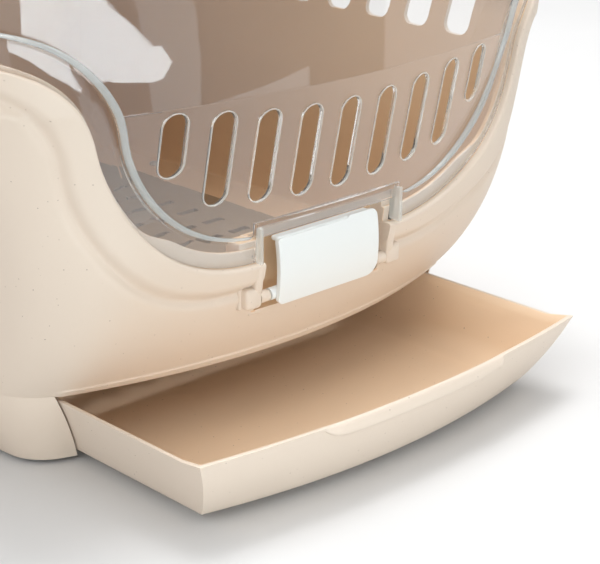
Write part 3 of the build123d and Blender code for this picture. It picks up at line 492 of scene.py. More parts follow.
@dataclass(frozen=True)
class HullPlan:
    """Plan outline of the lower shell at any height. Millimetres.

    A place on it is a number u: the front arc ends at front_end and the corner at corner_end.
    """

    seam_z: float = 47.4
    rim_half: float = 213.8
    seam_half: float = 175.5
    widest_rise: float = 165.0
    flare_power: float = 0.65
    face_y: float = -250.0
    setback: float = 30.8
    face_rise: float = 97.0
    face_power: float = 2.4
    face_radius: float = 6000.0
    seam_radius: float = 409.0
    side_radius: float = 1900.0
    seam_corner: float = 44.0
    rim_corner: float = 52.0
    corner_power: float = 3.0
    front_end: float = 0.25
    corner_end: float = 0.42

    def arcs(self, z: float) -> tuple[float, float, float, float, float, float, float]:
        """Arc data of the front right quarter.

        Args:
            z: height.

        Returns:
            Front centre y, front radius, corner centre x and y, corner radius, and the
            two angles where the corner arc starts and ends.
        """
        rise = z - self.seam_z
        rest = min(1.0, max(0.0, 1 - rise / self.face_rise))
        front = self.face_y + self.setback * rest**self.face_power
        flare = min(1.0, max(0.0, 1 - rise / self.widest_rise)) ** self.flare_power
        half = self.rim_half - (self.rim_half - self.seam_half) * flare
        bend = 1 / self.face_radius + (1 / self.seam_radius - 1 / self.face_radius) * rest**1.5
        radius = 1 / bend
        corner = self.rim_corner - (self.rim_corner - self.seam_corner) * rest**self.corner_power
        side_x = half - self.side_radius
        dx, dy = side_x, -(front + radius)
        gap = math.hypot(dx, dy)
        reach_a, reach_b = radius - corner, self.side_radius - corner
        along = (reach_a**2 - reach_b**2 + gap**2) / (2 * gap)
        across = math.sqrt(reach_a**2 - along**2)
        base_x, base_y = along * dx / gap, front + radius + along * dy / gap
        cx, cy = max(
            (base_x + across * dy / gap, base_y - across * dx / gap),
            (base_x - across * dy / gap, base_y + across * dx / gap),
        )
        start = math.atan2(cy - front - radius, cx)
        end = math.atan2(cy, cx - side_x)
        return front + radius, radius, cx, cy, corner, start, end

    def point(self, u: float, z: float, out: float) -> Pair:
        """A point of the right half of the outline.

        Args:
            u: 0 at the middle of the front, 0.5 at the side, 1 at the middle of the back.
            z: height.
            out: distance outwards from the plain surface.

        Returns:
            (x, y) of the point.
        """
        mirrored = u > 0.5
        q = 1 - u if mirrored else u
        centre_y, radius, cx, cy, corner, start, end = self.arcs(z)
        if q < self.front_end:
            a = -math.pi / 2 + (start + math.pi / 2) * q / self.front_end
            x, y = (radius + out) * math.cos(a), centre_y + (radius + out) * math.sin(a)
        elif q < self.corner_end:
            a = start + (end - start) * (q - self.front_end) / (self.corner_end - self.front_end)
            x, y = cx + (corner + out) * math.cos(a), cy + (corner + out) * math.sin(a)
        else:
            a = end * (1 - (q - self.corner_end) / (0.5 - self.corner_end))
            reach = self.side_radius + out
            side_x = cx + (corner - self.side_radius) * math.cos(end)
            x, y = side_x + reach * math.cos(a), reach * math.sin(a)
        return x, (-y if mirrored else y)

    def u_at(self, x: float, z: float, out: float) -> float:
        """Outline place of a front point.

        Args:
            x: sideways place.
            z: height.
            out: distance outwards.

        Returns:
            The place u whose x matches.
        """
        low, high = 0.0, 0.5
        for _ in range(30):
            mid = (low + high) / 2
            if self.point(mid, z, out)[0] < x:
                low = mid
            else:
                high = mid
        return (low + high) / 2


HULL = HullPlan()


def smooth(value: float, low: float, high: float) -> float:
    """Smooth step.

    Args:
        value: where to look.
        low: value at which the step starts.
        high: value at which it ends.

    Returns:
        0 below low, 1 above high, smooth between.
    """
    t = min(1.0, max(0.0, (value - low) / (high - low)))
    return t * t * (3 - 2 * t)


def linked(name: str, data: bpy.types.ID) -> Piece:
    """New object with the given data, linked to the scene.

    Args:
        name: its name.
        data: mesh, lamp or camera data.

    Returns:
        The object.
    """
    made = bpy.data.objects.new(name, data)
    bpy.context.scene.collection.objects.link(made)
    return made


def flat_sheet(name: str, corners: Ring, material: Material) -> Piece:
    """One flat face.

    Args:
        name: its name.
        corners: its corners in order, in metres.
        material: its finish.

    Returns:
        The object.
    """
    mesh = bpy.data.meshes.new(name)
    mesh.from_pydata(corners, [], [tuple(range(len(corners)))])
    mesh.materials.append(material)
    return linked(name, mesh)


def side_name(side: int) -> str:
    """Name of a side: -1 is left, 1 is right."""
    return "left" if side < 0 else "right"


def span(side: int, near: float, far: float) -> Pair:
    """Lowest and highest x of a piece between two distances from the middle, on one side."""
    low, high = sorted((side * near, side * far))
    return low, high


def ring_mesh(name: str, rings: list[Ring], closed: bool) -> Piece:
    """Skins a stack of rings.

    Args:
        name: piece name.
        rings: rings of the same number of points, in millimetres.
        closed: true if the last ring joins the first, else both ends are capped.

    Returns:
        The new object, smooth and with outward normals.
    """
    mesh = bmesh.new()
    stack = [[mesh.verts.new((x * MM, y * MM, z * MM)) for x, y, z in ring] for ring in rings]
    pairs = list(zip(stack, stack[1:])) + ([(stack[-1], stack[0])] if closed else [])
    count = len(stack[0])
    for a, b in pairs:
        for i in range(count):
            j = (i + 1) % count
            mesh.faces.new((a[i], a[j], b[j], b[i]))
    if not closed:
        mesh.faces.new(stack[0])
        mesh.faces.new(list(reversed(stack[-1])))
    bmesh.ops.recalc_face_normals(mesh, faces=mesh.faces)
    return from_bmesh(name, mesh)


def from_bmesh(name: str, mesh: bmesh.types.BMesh) -> Piece:
    """Turns a bmesh into a smooth linked object.

    Args:
        name: piece name.
        mesh: the bmesh, which is freed.

    Returns:
        The new object.
    """
    data = bpy.data.meshes.new(name)
    for face in mesh.faces:
        face.smooth = True
    mesh.to_mesh(data)
    mesh.free()
    return linked(name, data)


def baked(source: Piece, name: str) -> Piece:
    """Plain mesh object of an object with its modifiers applied; the source is removed.

    Args:
        source: object with modifiers.
        name: name of the new piece.

    Returns:
        The plain object.
    """
    graph = bpy.context.evaluated_depsgraph_get()
    data = bpy.data.meshes.new_from_object(source.evaluated_get(graph))
    bpy.data.objects.remove(source)
    data.name = name
    return linked(name, data)


def rounded_box(low: Point, high: Point, corner: float) -> bmesh.types.BMesh:
    """Box with all edges rounded.

    Args:
        low: lowest corner in millimetres.
        high: highest corner in millimetres.
        corner: rounding radius in millimetres.

    Returns:
        A bmesh of the box, in metres.
    """
    mesh = bmesh.new()
    bmesh.ops.create_cube(mesh, size=1.0)
    for vert in mesh.verts:
        vert.co = Vector([(l + (h - l) * (c + 0.5)) * MM for l, h, c in zip(low, high, vert.co)])
    edges = list(mesh.edges)
    bmesh.ops.bevel(mesh, geom=edges, offset=corner * MM, segments=4, profile=0.5, affect="EDGES")
    return mesh


def rounded_piece(name: str, low: Point, high: Point, corner: float) -> Piece:
    """A rounded box as a linked object."""
    return from_bmesh(name, rounded_box(low, high, corner))


# ------------------------------------------------------------------ lower shell
@dataclass(frozen=True)
class Column:
    """One column of the shell's mesh: its place on the outline at each height."""

    places: tuple[float, ...]
    first: float = 40.0
    step: float = 6.0
    count: int = 41

    @classmethod
    def heights(cls) -> list[float]:
        """Heights of the kept places; under 100 mm a column follows the hull's flare."""
        return [max(100.0, cls.first + cls.step * i) for i in range(cls.count)]

    @classmethod
    def upright(cls, x: float) -> "Column":
        """Column that stays at one x, so that it crosses steep lines."""
        return cls(tuple(HULL.u_at(x, z, 0.0) if x > 0 else 0.0 for z in cls.heights()))

    @classmethod
    def beyond(cls, x: float, share: float) -> "Column":
        """Column past an upright one.

        Args:
            x: the last upright column's x.
            share: 0 at that column, 1 at the middle of the back.

        Returns:
            The column.
        """
        starts = [HULL.u_at(x, z, 0.0) for z in cls.heights()]
        return cls(tuple(start + (1 - start) * share for start in starts))

    def u(self, z: float) -> float:
        """Place on the outline.

        Args:
            z: height.

        Returns:
            The place u at that height.
        """
        at = min(max((z - self.first) / self.step, 0.0), self.count - 1.001)
        index = int(at)
        return self.places[index] + (self.places[index + 1] - self.places[index]) * (at - index)

    def at(self, z: float, out: float) -> Point:
        """Point of the column at a height, moved outwards from the plain surface."""
        return (*HULL.point(self.u(z), z, out), z)


@dataclass
class BowlShell:
    """Moulded lower shell: raised band with a valley, rim, vents, latch pocket and ears. Millimetres.

    The valley stays shallower than the wall. The rim profile lists (above the line, outwards).
    """

    wall: float = 3.0
    band_raise: float = 2.0
    band_ramp: Pair = (-1.5, 6.5)
    valley: float = 2.7
    valley_place: float = -0.6
    valley_width: float = 3.0
    seam_lip: float = 1.0
    seam_lip_half: float = 146.0
    seam_lip_fade: Pair = (51.2, 52.6)
    lip_marks: tuple[float, ...] = (50.6, 51.4, 52.0, 52.8)
    plain_foot: float = 54.0
    highest: float = 275.0
    ledge_least: float = 0.3
    ledge_fade: Pair = (104.0, 130.0)
    rim_profile: Outline = (
        (-2.6, 2.0), (-1.7, 1.85), (-1.0, 1.4), (-0.6, 0.8), (-0.4, 0.0), (-0.4, -2.2), (-0.4, -4.2),
        (-0.1, -4.8), (0.5, -5.0), (4.0, -5.0), (7.2, -5.0), (7.8, -5.3), (8.1, -6.0),
        (8.1, -7.2), (7.7, -7.8), (6.9, -8.0), (3.0, -8.0), (-3.0, -8.0), (-4.4, -7.2),
        (-5.4, -5.2), (-6.6, -3.4), (-8.5, -3.0),
    )
    vent_count: int = 7
    vent_first_y: float = -165.0
    vent_pitch: float = 37.0
    vent_size: Pair = (22.0, 43.0)
    vent_corner: float = 7.0
    vent_foot: float = 186.0
    vent_reach: float = 300.0
    pocket_half: float = 47.5
    pocket_back: float = -232.5
    pocket_foot: float = 82.4
    pocket_top: float = 124.4
    pocket_side: Pair = (-241.4, 86.0)
    hollow_front: float = -400.0
    hollow_top: float = 160.0
    # Bounds of the faces on which shade is painted: latch pocket, inner walls and floor.
    latch_depths: Pair = (-244.0, -230.0)
    latch_heights: Pair = (82.0, 125.0)
    inner_reach: Pair = (247.0, 258.0)
    level_top: float = 262.0
    skin_depth: float = 2.6
    floor_top: float = 52.0
    ear_front: float = -246.4
    ear_foot: float = 86.5
    ear_top: float = 98.4
    post_foot: float = 94.0
    post_top: float = 111.8
    post_lean: float = 0.15
    post_bend: Pair = (234.0, 244.0)
    boss_profile: Outline = ((47.9, 2.0), (47.9, 3.4), (42.4, 3.3), (41.6, 3.0), (41.2, 2.2))
    lug_reach: Pair = (207.0, 223.0)
    lug_heights: Pair = (214.6, 225.4)
    sieve_hole: Pair = (123.0, 161.0)

    def columns(self) -> list[Column]:
        """Columns of the mesh: upright ones across the front, then round the side and back.

        Returns:
            The columns of the right half, closest together where the rim is steep.
        """
        upright = [3.0 * i for i in range(50)] + [149.0 + i for i in range(27)]
        found = [Column.upright(x) for x in upright]
        steps = 84
        found += [Column.beyond(upright[-1], ((i + 1) / steps) ** 1.6) for i in range(steps)]
        return found

    def height_at(self, column: Column, above: float, out: float, line: EdgeLine) -> float:
        """Height at which a column is a given distance above an edge line.

        Args:
            column: the column.
            above: distance above the line.
            out: distance outwards from the plain surface.
            line: the edge line.

        Returns:
            The height in millimetres.
        """
        low, high = HULL.seam_z, self.highest
        for _ in range(22):
            mid = (low + high) / 2
            u = column.u(mid)
            if line.inside(HULL.point(u, mid, out)[0], mid, u > 0.5) < above:
                low = mid
            else:
                high = mid
        return (low + high) / 2

    def raised(self, u: float, z: float) -> float:
        """Outward swell of the surface: the raised band, its valley, and the lip at the seam.

        Args:
            u: place on the outline.
            z: height.

        Returns:
            Distance outwards from the plain surface.
        """
        x = HULL.point(u, z, 0.0)[0]
        above = BAND.inside(x, z, u > 0.5)
        swell = self.band_raise * smooth(above, *self.band_ramp)
        swell -= self.valley * math.exp(-(((above - self.valley_place) / self.valley_width) ** 2))
        if u < 0.5 and x < self.seam_lip_half:
            swell += self.seam_lip * (1 - smooth(z, *self.seam_lip_fade))
        return swell

    def outer_heights(self, column: Column, rim: float) -> list[float]:
        """Heights of the outer wall's rows, which follow the band's line near it.

        Args:
            column: the column.
            rim: height at which the rim's profile starts.

        Returns:
            The heights from the seam up.
        """
        seam, plain = HULL.seam_z, self.plain_foot
        near = [self.height_at(column, -9.0 + 0.85 * i, 0.0, BAND) for i in range(22)]
        near = [min(max(z, 60.0), rim - 2.5) for z in near]
        marks = [seam, seam + 1.6, *self.lip_marks, plain]
        marks += [plain + (near[0] - plain) * i / 12 for i in range(1, 12)]
        for z in near:
            marks.append(max(z, marks[-1] + 0.05))
        last = marks[-1]
        return marks + [last + (rim - last) * i / 5 for i in range(1, 6)]

    def section(self, column: Column) -> Ring:
        """Closed cross-section of the shell at one outline place.

        Args:
            column: the column.

        Returns:
            The section's points in order, in millimetres.
        """
        rim = self.height_at(column, -4.0, self.band_raise, OPENING)
        outer = self.outer_heights(column, rim)
        points = [column.at(z, self.raised(column.u(z), z)) for z in outer]
        fade = 1 - smooth(column.at(rim, 0.0)[0], *self.ledge_fade)
        ledge = self.ledge_least + (1 - self.ledge_least) * fade
        for above, out in self.rim_profile:
            above *= ledge if above > 0.5 else 1.0
            points.append(column.at(self.height_at(column, above, out, OPENING), out))
        top = points[-1][2]
        floor = HULL.seam_z + self.wall
        points += [column.at(top + (floor + 3.0 - top) * i / 14, -self.wall) for i in range(1, 15)]
        for out, z in ((-3.3, floor + 1.2), (-4.2, floor + 0.3), (-6.0, floor)):
            points.append((*column.at(floor + 1, out)[:2], z))
        edge_x, edge_y, _ = column.at(floor, -10.0)
        hole_x, hole_y = self.sieve_hole
        scale = min(hole_x / max(edge_x, 1e-6), hole_y / max(abs(edge_y), 1e-6))
        points += [(edge_x * scale, edge_y * scale, z) for z in (floor, HULL.seam_z)]
        return points

    def tools(self) -> list[tuple[Piece, str]]:
        """Solids for the booleans: the latch pocket's walls, its hollow and the vents.

        Returns:
            Each solid with its boolean's operation.
        """
        half, back, foot, top = self.pocket_half, self.pocket_back, self.pocket_foot, self.pocket_top
        walls = [rounded_piece(
            "pocket_back", (-half - 3, back - 5, foot - 3), (half + 3, back + 3, top), 1.0
        )]
        for side in (-1, 1):
            low, high = span(side, half - 2, half + 13)
            walls.append(rounded_piece(
                "pocket_side", (low, *self.pocket_side), (high, back + 2.6, top - 0.2), 1.0
            ))
        front = self.hollow_front
        hollow = rounded_piece("pocket_hollow", (-half, front, foot), (half, back, self.hollow_top), 1.0)
        holes = [hollow, self.vent_cutter()]
        return [(wall, "UNION") for wall in walls] + [(hole, "DIFFERENCE") for hole in holes]

    def build(self, finishes: FinishSet) -> None:
        """Builds and dresses the shell.

        Args:
            finishes: all finishes.
        """
        half = [self.section(column) for column in self.columns()]
        ring = half + [[(-x, y, z) for x, y, z in column] for column in reversed(half[1:-1])]
        shell = ring_mesh("lower_shell_moulded", ring, True)
        tools = self.tools()
        for tool, way in tools:
            cut = shell.modifiers.new(tool.name, "BOOLEAN")
            cut.object = tool
            cut.operation = way
            cut.solver = "EXACT"
        piece = baked(shell, "lower_shell_moulded")
        for tool, _ in tools:
            bpy.data.objects.remove(tool)
        piece.data.materials.clear()
        piece.data.materials.append(finishes.made[Slot.SHELL])
        # Second material: painted shade on the inner wall, floor and latch pocket.
        piece.data.materials.append(finishes.looks[Look.INSIDE])
        self.paint_shade_inside(piece)
        piece.data.set_sharp_from_angle(angle=math.radians(38))
        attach(piece, Body.BODY.value)
        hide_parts("lower_shell")
        LOG.info("lower shell: %d faces", len(piece.data.polygons))
        self.build_ears(finishes)
        self.build_lugs(finishes)

    def paint_shade_inside(self, piece: Piece) -> None:
        """Paints shade on the inner wall, the floor and the latch pocket: they get the darker, warmer
        inside material, which is painted shade.

        Args:
            piece: the shell.
        """
        half, (front, back), (foot, top) = self.pocket_half, self.latch_depths, self.latch_heights
        inner_y, inner_top = self.inner_reach
        for face in piece.data.polygons:
            x, y, z = (c / MM for c in face.center)
            normal = face.normal
            level = min(max(z, HULL.seam_z), self.level_top)
            hull_y = HULL.point(HULL.u_at(abs(x), level, 0.0), level, 0.0)[1]
            by_latch = foot < z < top and y > front
            pocket = by_latch and abs(x) < half + 0.2 and y < back and normal.x > -0.7
            right_wall = by_latch and half - 1.5 < x < half + 1.5 and y < back + 1 and normal.x < -0.7
            facing_in = normal.x * x + normal.y * y < 0 and abs(y) < inner_y and z < inner_top
            deep = abs(y) < abs(hull_y) - self.skin_depth
            floor = normal.z > 0.9 and z < self.floor_top
            # Faces that get painted shade.
            shade_painted = pocket or floor or (facing_in and deep)
            face.material_index = 1 if shade_painted and not right_wall else 0

    def vent_cutter(self) -> Piece:
        """Row of rounded bars, one through both walls for each vent, made by geometry nodes.

        Returns:
            All the bars as one object.
        """
        wide, high = self.vent_size
        reach = self.vent_reach
        seed = rounded_piece(
            "vent_bar", (-reach, -wide / 2, 0.0), (reach, wide / 2, high), self.vent_corner
        )
        tree = bpy.data.node_groups.new("vent_row", "GeometryNodeTree")
        socket(tree, "Geometry", "INPUT", "NodeSocketGeometry")
        count = socket(tree, "Vents", "INPUT", "NodeSocketInt")
        pitch = socket(tree, "Pitch", "INPUT", "NodeSocketFloat")
        first = socket(tree, "First place", "INPUT", "NodeSocketVector")
        socket(tree, "Geometry", "OUTPUT", "NodeSocketGeometry")
        given = tree.nodes.new("NodeGroupInput").outputs
        step = add_node(tree, "ShaderNodeCombineXYZ", {"Y": given["Pitch"]})
        row = add_node(tree, "GeometryNodeMeshLine", {
            "Count": given["Vents"], "Start Location": given["First place"], "Offset": step.outputs[0],
        })
        place = add_node(tree, "GeometryNodeInstanceOnPoints", {
            "Points": row.outputs["Mesh"], "Instance": given["Geometry"],
        })
        real = add_node(tree, "GeometryNodeRealizeInstances", {"Geometry": place.outputs["Instances"]})
        add_node(tree, "NodeGroupOutput", {"Geometry": real.outputs["Geometry"]})
        modifier = seed.modifiers.new("vents", "NODES")
        modifier.node_group = tree
        modifier[count] = self.vent_count
        modifier[pitch] = self.vent_pitch * MM
        modifier[first] = (0.0, self.vent_first_y * MM, self.vent_foot * MM)
        return baked(seed, "vent_cutters")

    def build_ears(self, finishes: FinishSet) -> None:
        """Two rounded ears beside the latch, each with a collar and a leaning post.

        Args:
            finishes: all finishes.
        """
        half, back, foot = self.pocket_half, self.pocket_back, self.post_foot
        for side in (-1, 1):
            name = "latch_ear_" + side_name(side)
            low, high = span(side, half + 0.4, half + 11.5)
            ear = rounded_piece(
                name, (low, self.ear_front, self.ear_foot), (high, back, self.ear_top), 2.4
            )
            boss = self.boss(side, name + "_boss")
            low, high = span(side, half + 0.3, half + 5.6)
            shape = rounded_box((low, self.ear_front + 0.2, foot), (high, back, self.post_top), 1.5)
            for vert in shape.verts:
                share = smooth(-vert.co.y / MM, *self.post_bend)
                vert.co.y -= self.post_lean * share * (vert.co.z - foot * MM)
            post = from_bmesh(name + "_post", shape)
            for piece in (ear, boss, post):
                piece.data.materials.append(finishes.made[Slot.SHELL])
                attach(piece, Body.BODY.value)

    def boss(self, side: int, name: str) -> Piece:
        """Collar on an ear, round the latch's pin.

        Args:
            side: -1 for left, 1 for right.
            name: piece name.

        Returns:
            The collar.
        """
        rings = []
        turns = [2 * math.pi * i / 32 for i in range(32)]
        for x, radius in self.boss_profile:
            rings.append([
                (side * x, PIN_Y + radius * math.cos(a), PIN_Z + radius * math.sin(a)) for a in turns
            ])
        collar = ring_mesh(name, rings, False)
        collar.data.set_sharp_from_angle(angle=math.radians(50))
        return collar

    def build_lugs(self, finishes: FinishSet) -> None:
        """Lugs that carry the side clips, at the ends of each clip's pin.

        Args:
            finishes: all finishes.
        """
        low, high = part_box("clip_pins")
        clip_low, clip_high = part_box("clip_right")
        ends = {
            "front": (low.y - 0.001, clip_low.y - 0.0004),
            "rear": (clip_high.y + 0.0004, high.y + 0.001),
        }
        foot, top = self.lug_heights
        for side in (1, -1):
            for end, (y0, y1) in ends.items():
                x0, x1 = span(side, *self.lug_reach)
                name = f"clip_lug_{side_name(side)}_{end}"
                lug = rounded_piece(name, (x0, y0 / MM, foot), (x1, y1 / MM, top), 2.0)
                lug.data.materials.append(finishes.made[Slot.SHELL])
                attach(lug, Body.BODY.value)


# ------------------------------------------------------------------ drawer
@dataclass
class DrawerTray:
    """Shallow drawer with a bowed leaning front, round rims and a thick pull lip. Millimetres.

    The lip profile lists (below the rim, share of the lip's reach), the edge profile (below, outwards).
    """

    front_half: float = 145.0
    foot_z: float = 6.0
    front_top: float = 46.8
    wall_top: float = 44.0
    taper_x: float = 18.5
    taper_y: float = 21.5
    bow: float = 13.2
    foot_bow: float = 16.5
    bulge: float = 2.0
    corner_y: float = -306.6
    back_y: float = 57.0
    ramp: float = 11.0
    wall: float = 2.5
    floor: float = 2.5
    lip_half: float = 71.0
    lip_full: float = 46.0
    lip_out: float = 3.2
    lip_height: float = 9.0
    fillet: float = 12.0
    lip_profile: Outline = (
        (9.6, 0.0), (9.1, 0.3), (8.5, 0.75), (7.6, 0.97), (6.6, 1.0), (5.6, 0.92), (4.2, 0.7), (2.6, 0.42),
        (1.2, 0.2),
    )
    edge_profile: Outline = (
        (0.4, -0.3), (0.1, -0.8), (0.0, -1.3), (0.1, -1.8), (0.5, -2.25), (1.3, -2.5),
    )

    def outline(self, z: float, grow: float) -> Ring:
        """Outline of the drawer at a height: front, right side, back, left side.

        Args:
            z: height.
            grow: distance outwards.

        Returns:
            Points (x, y, distance from the middle along the front, large elsewhere).
        """
        down = (self.front_top - z) / (self.front_top - self.foot_z)
        swell = self.bulge * 4 * down * (1 - down)
        half = self.front_half - self.taper_x * down + grow
        away = 999.0
        corner = self.corner_y + self.taper_y * down - swell - grow
        bow = self.bow + (self.foot_bow - self.bow) * down
        back = self.back_y - 8 * down + grow
        radius = (half**2 + bow**2) / (2 * bow)
        found = []
        for i in range(121):
            x = half * (-1 + 2 * i / 120)
            y = corner - bow + radius - math.sqrt(radius**2 - x**2)
            found.append((x, y, abs(x)))
        sides = 26
        right = [(half, corner + (back - corner) * i / sides, away) for i in range(1, sides + 1)]
        rear = [(half - 2 * half * i / 20, back, away) for i in range(1, 21)]
        left = [(-half, back + (corner - back) * i / sides, away) for i in range(1, sides)]
        return found + right + rear + left

    def top_at(self, y: float) -> float:
        """Height of the rim at a place along the drawer."""
        share = smooth(y, self.corner_y + 2.0, self.corner_y + self.ramp)
        return self.front_top + (self.wall_top - self.front_top) * share

    def ring(self, share: float, drop: float, grow: float, lip: float) -> Ring:
        """One ring of the tray.

        Args:
            share: 0 at the foot, 1 at the rim.
            drop: distance below the rim, added after the share.
            grow: distance outwards.
            lip: how much of the pull lip's reach this ring has, or NO_LIP.

        Returns:
            The ring's points.
        """
        found = []
        guide = self.outline(self.front_top, 0.0)
        for index, (_, guide_y, place) in enumerate(guide):
            top = self.top_at(guide_y)
            ends = smooth(self.lip_half - place, 0.0, 6.0)
            fade = max(0.0, (place - self.lip_full) / (self.lip_half - self.lip_full))
            height = max(1.8, self.lip_height * math.sqrt(max(0.0, 1 - fade**2)))
            below = drop if lip == NO_LIP else drop * height / self.lip_height
            z = self.foot_z + share * (top - self.foot_z) - below
            x, y, _ = self.outline(z, grow + self.lip_out * ends * max(lip, 0.0))[index]
            found.append((x, y, z))
        return found

    def build(self, finishes: FinishSet) -> None:
        """Builds and dresses the drawer.

        Args:
            finishes: all finishes.
        """
        foot = ((0.0, -1.4), (0.012, -0.4), (0.04, 0.0))
        rings = [self.ring(share, 0.0, grow, NO_LIP) for share, grow in foot]
        rings += [self.ring(0.04 + 0.7 * i / 8, 0.0, 0.0, NO_LIP) for i in range(1, 9)]
        rings += [self.ring(1.0, drop, 0.0, reach) for drop, reach in self.lip_profile]
        rings += [self.ring(1.0, drop, grow, 0.0) for drop, grow in self.edge_profile]
        inner_from = len(rings) - 2
        rings += [self.ring(1.0 - 0.62 * i / 6, 1.3, -self.wall, NO_LIP) for i in range(1, 7)]
        for i in range(1, 9):
            a = math.pi / 2 * i / 8
            share = (self.floor + self.fillet * (1 - math.sin(a))) / (self.front_top - self.foot_z)
            rings.append(self.ring(share, 0.0, -self.wall - self.fillet * (1 - math.cos(a)), NO_LIP))
        tray = ring_mesh("drawer_moulded", rings, False)
        tray.data.materials.append(finishes.made[Slot.SHELL])
        tray.data.materials.append(finishes.looks[Look.TRAY])
        per_ring = len(rings[0])
        # Faces from the rim's inner edge inwards, and the floor cap, get painted bounce light and shade.
        for index, face in enumerate(tray.data.polygons):
            face.material_index = 1 if index // per_ring >= inner_from else 0
        tray.data.polygons[-2].material_index = 0
        tray.data.polygons[-1].material_index = 1
        tray.data.set_sharp_from_angle(angle=math.radians(50))
        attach(tray, Body.DRAWER.value)
        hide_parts("drawer")
        LOG.info("drawer: %d faces", len(tray.data.polygons))


# ------------------------------------------------------------------ clear visor trim
@dataclass
class VisorTrim:
    """Trim of the clear visor: slot rims, a bead, two notch posts and a ledge. Millimetres.

    The slot profile lists (outwards from the slot's edge, back from the surface).
    """

    pitch: float = 27.9
    width: float = 14.0
    length: float = 51.0
    middle: float = 171.5
    rise: float = 0.00085
    end_number: int = 4
    end_length: float = 34.0
    end_middle: float = 189.0
    slot_profile: Outline = (
        (0.5, 0.05), (0.35, -0.25), (0.1, -0.35), (-0.15, -0.25), (-0.3, 0.1), (-0.3, 0.7),
        (-0.2, 1.1), (0.05, 1.2), (0.3, 1.0), (0.4, 0.6),
    )
    probe_out: float = 1.4
    probe_y: float = -500.0
    face_y: float = -260.0
    flange: float = 15.7
    bead: float = 2.0
    bead_from: float = 57.0
    bead_probe: float = 3.4
    notch_half: float = 52.0
    post_front: float = -251.9
    post_backs: Pair = (-247.6, -243.2)
    post_heights: Pair = (113.0, 133.4)
    ledge_low: Point = (-50.4, -245.4, 126.6)
    ledge_high: Point = (50.4, -242.6, 132.6)
    skin: BVHTree | None = None

    def front_y(self, x: float, z: float) -> float | None:
        """Front surface of the visor.

        Args:
            x: sideways place.
            z: height.

        Returns:
            The surface's y, or None where there is none.
        """
        start = Vector((x * MM, self.probe_y * MM, z * MM))
        hit = self.skin.ray_cast(start, Vector((0, 1, 0)))[0]
        return hit.y / MM if hit else None

    def slot_rim(self, number: int) -> Piece:
        """Rolled rim of one slot.

        Args:
            number: the slot, counted from the middle.

        Returns:
            The rim.
        """
        x = number * self.pitch
        end = abs(number) == self.end_number
        radius = self.width / 2
        half = (self.end_length if end else self.length) / 2 - radius
        middle = self.end_middle if end else self.middle + self.rise * x * x
        rings = []
        for side, low in ((1, -90), (-1, 90)):
            for i in range(17):
                a = math.radians(low + 180 * i / 16) + math.pi / 2
                nx, nz = math.cos(a), math.sin(a)
                probe = radius + self.probe_out
                y = self.front_y(x + probe * nx, middle + side * half + probe * nz) or self.face_y
                rings.append([
                    (x + (radius + n) * nx, y + dy, middle + side * half + (radius + n) * nz)
                    for n, dy in self.slot_profile
                ])
        return ring_mesh(f"slot_rim_{number + self.end_number + 1}", rings, True)

    def bead_piece(self, side: int) -> Piece:
        """Bead along one side of the visor.

        Args:
            side: -1 for left, 1 for right.

        Returns:
            The bead.
        """
        rings = []
        for x, z in OPENING.stations(self.flange, 40):
            if x < self.bead_from:
                continue
            outer = self.front_y(side * x, z - self.bead_probe)
            inner = self.front_y(side * max(x - self.bead_probe, 50.0), z + 0.8)
            if outer is None or inner is None:
                continue
            y = (outer + inner) / 2
            turns = [2 * math.pi * i / 14 for i in range(14)]
            round_bead = [(self.bead * math.cos(a), self.bead * math.sin(a)) for a in turns]
            rings.append([(side * (x + c), y + s, z - 0.3 * c) for c, s in round_bead])
        return ring_mesh("visor_bead_" + side_name(side), rings, False)

    def notch_post(self, side: int) -> Piece:
        """Rounded upright edge of the latch notch.

        Args:
            side: -1 for left, 1 for right.

        Returns:
            The post.
        """
        low, high = span(side, self.notch_half - 0.4, self.notch_half + 2.2)
        back = self.post_backs[0 if side < 0 else 1]
        foot, top = self.post_heights
        name = "notch_post_" + side_name(side)
        return rounded_piece(name, (low, self.post_front, foot), (high, back, top), 1.0)

    def build(self, finishes: FinishSet) -> None:
        """Builds all the trim.

        Args:
            finishes: all finishes.
        """
        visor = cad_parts["visor"]
        points = [visor.matrix_world @ vert.co for vert in visor.data.vertices]
        self.skin = BVHTree.FromPolygons(points, [tuple(face.vertices) for face in visor.data.polygons])
        last = self.end_number
        pieces = [(self.slot_rim(number), Look.RIM) for number in range(-last, last + 1)]
        pieces += [(self.bead_piece(side), Look.BEAD) for side in (-1, 1)]
        pieces += [(self.notch_post(side), Look.POST) for side in (-1, 1)]
        pieces.append((rounded_piece("notch_ledge", self.ledge_low, self.ledge_high, 0.8), Look.LEDGE))
        for piece, look in pieces:
            piece.data.materials.append(finishes.looks[look])
            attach(piece, Body.VISOR.value)
            LOG.info("visor trim %s", piece.name)


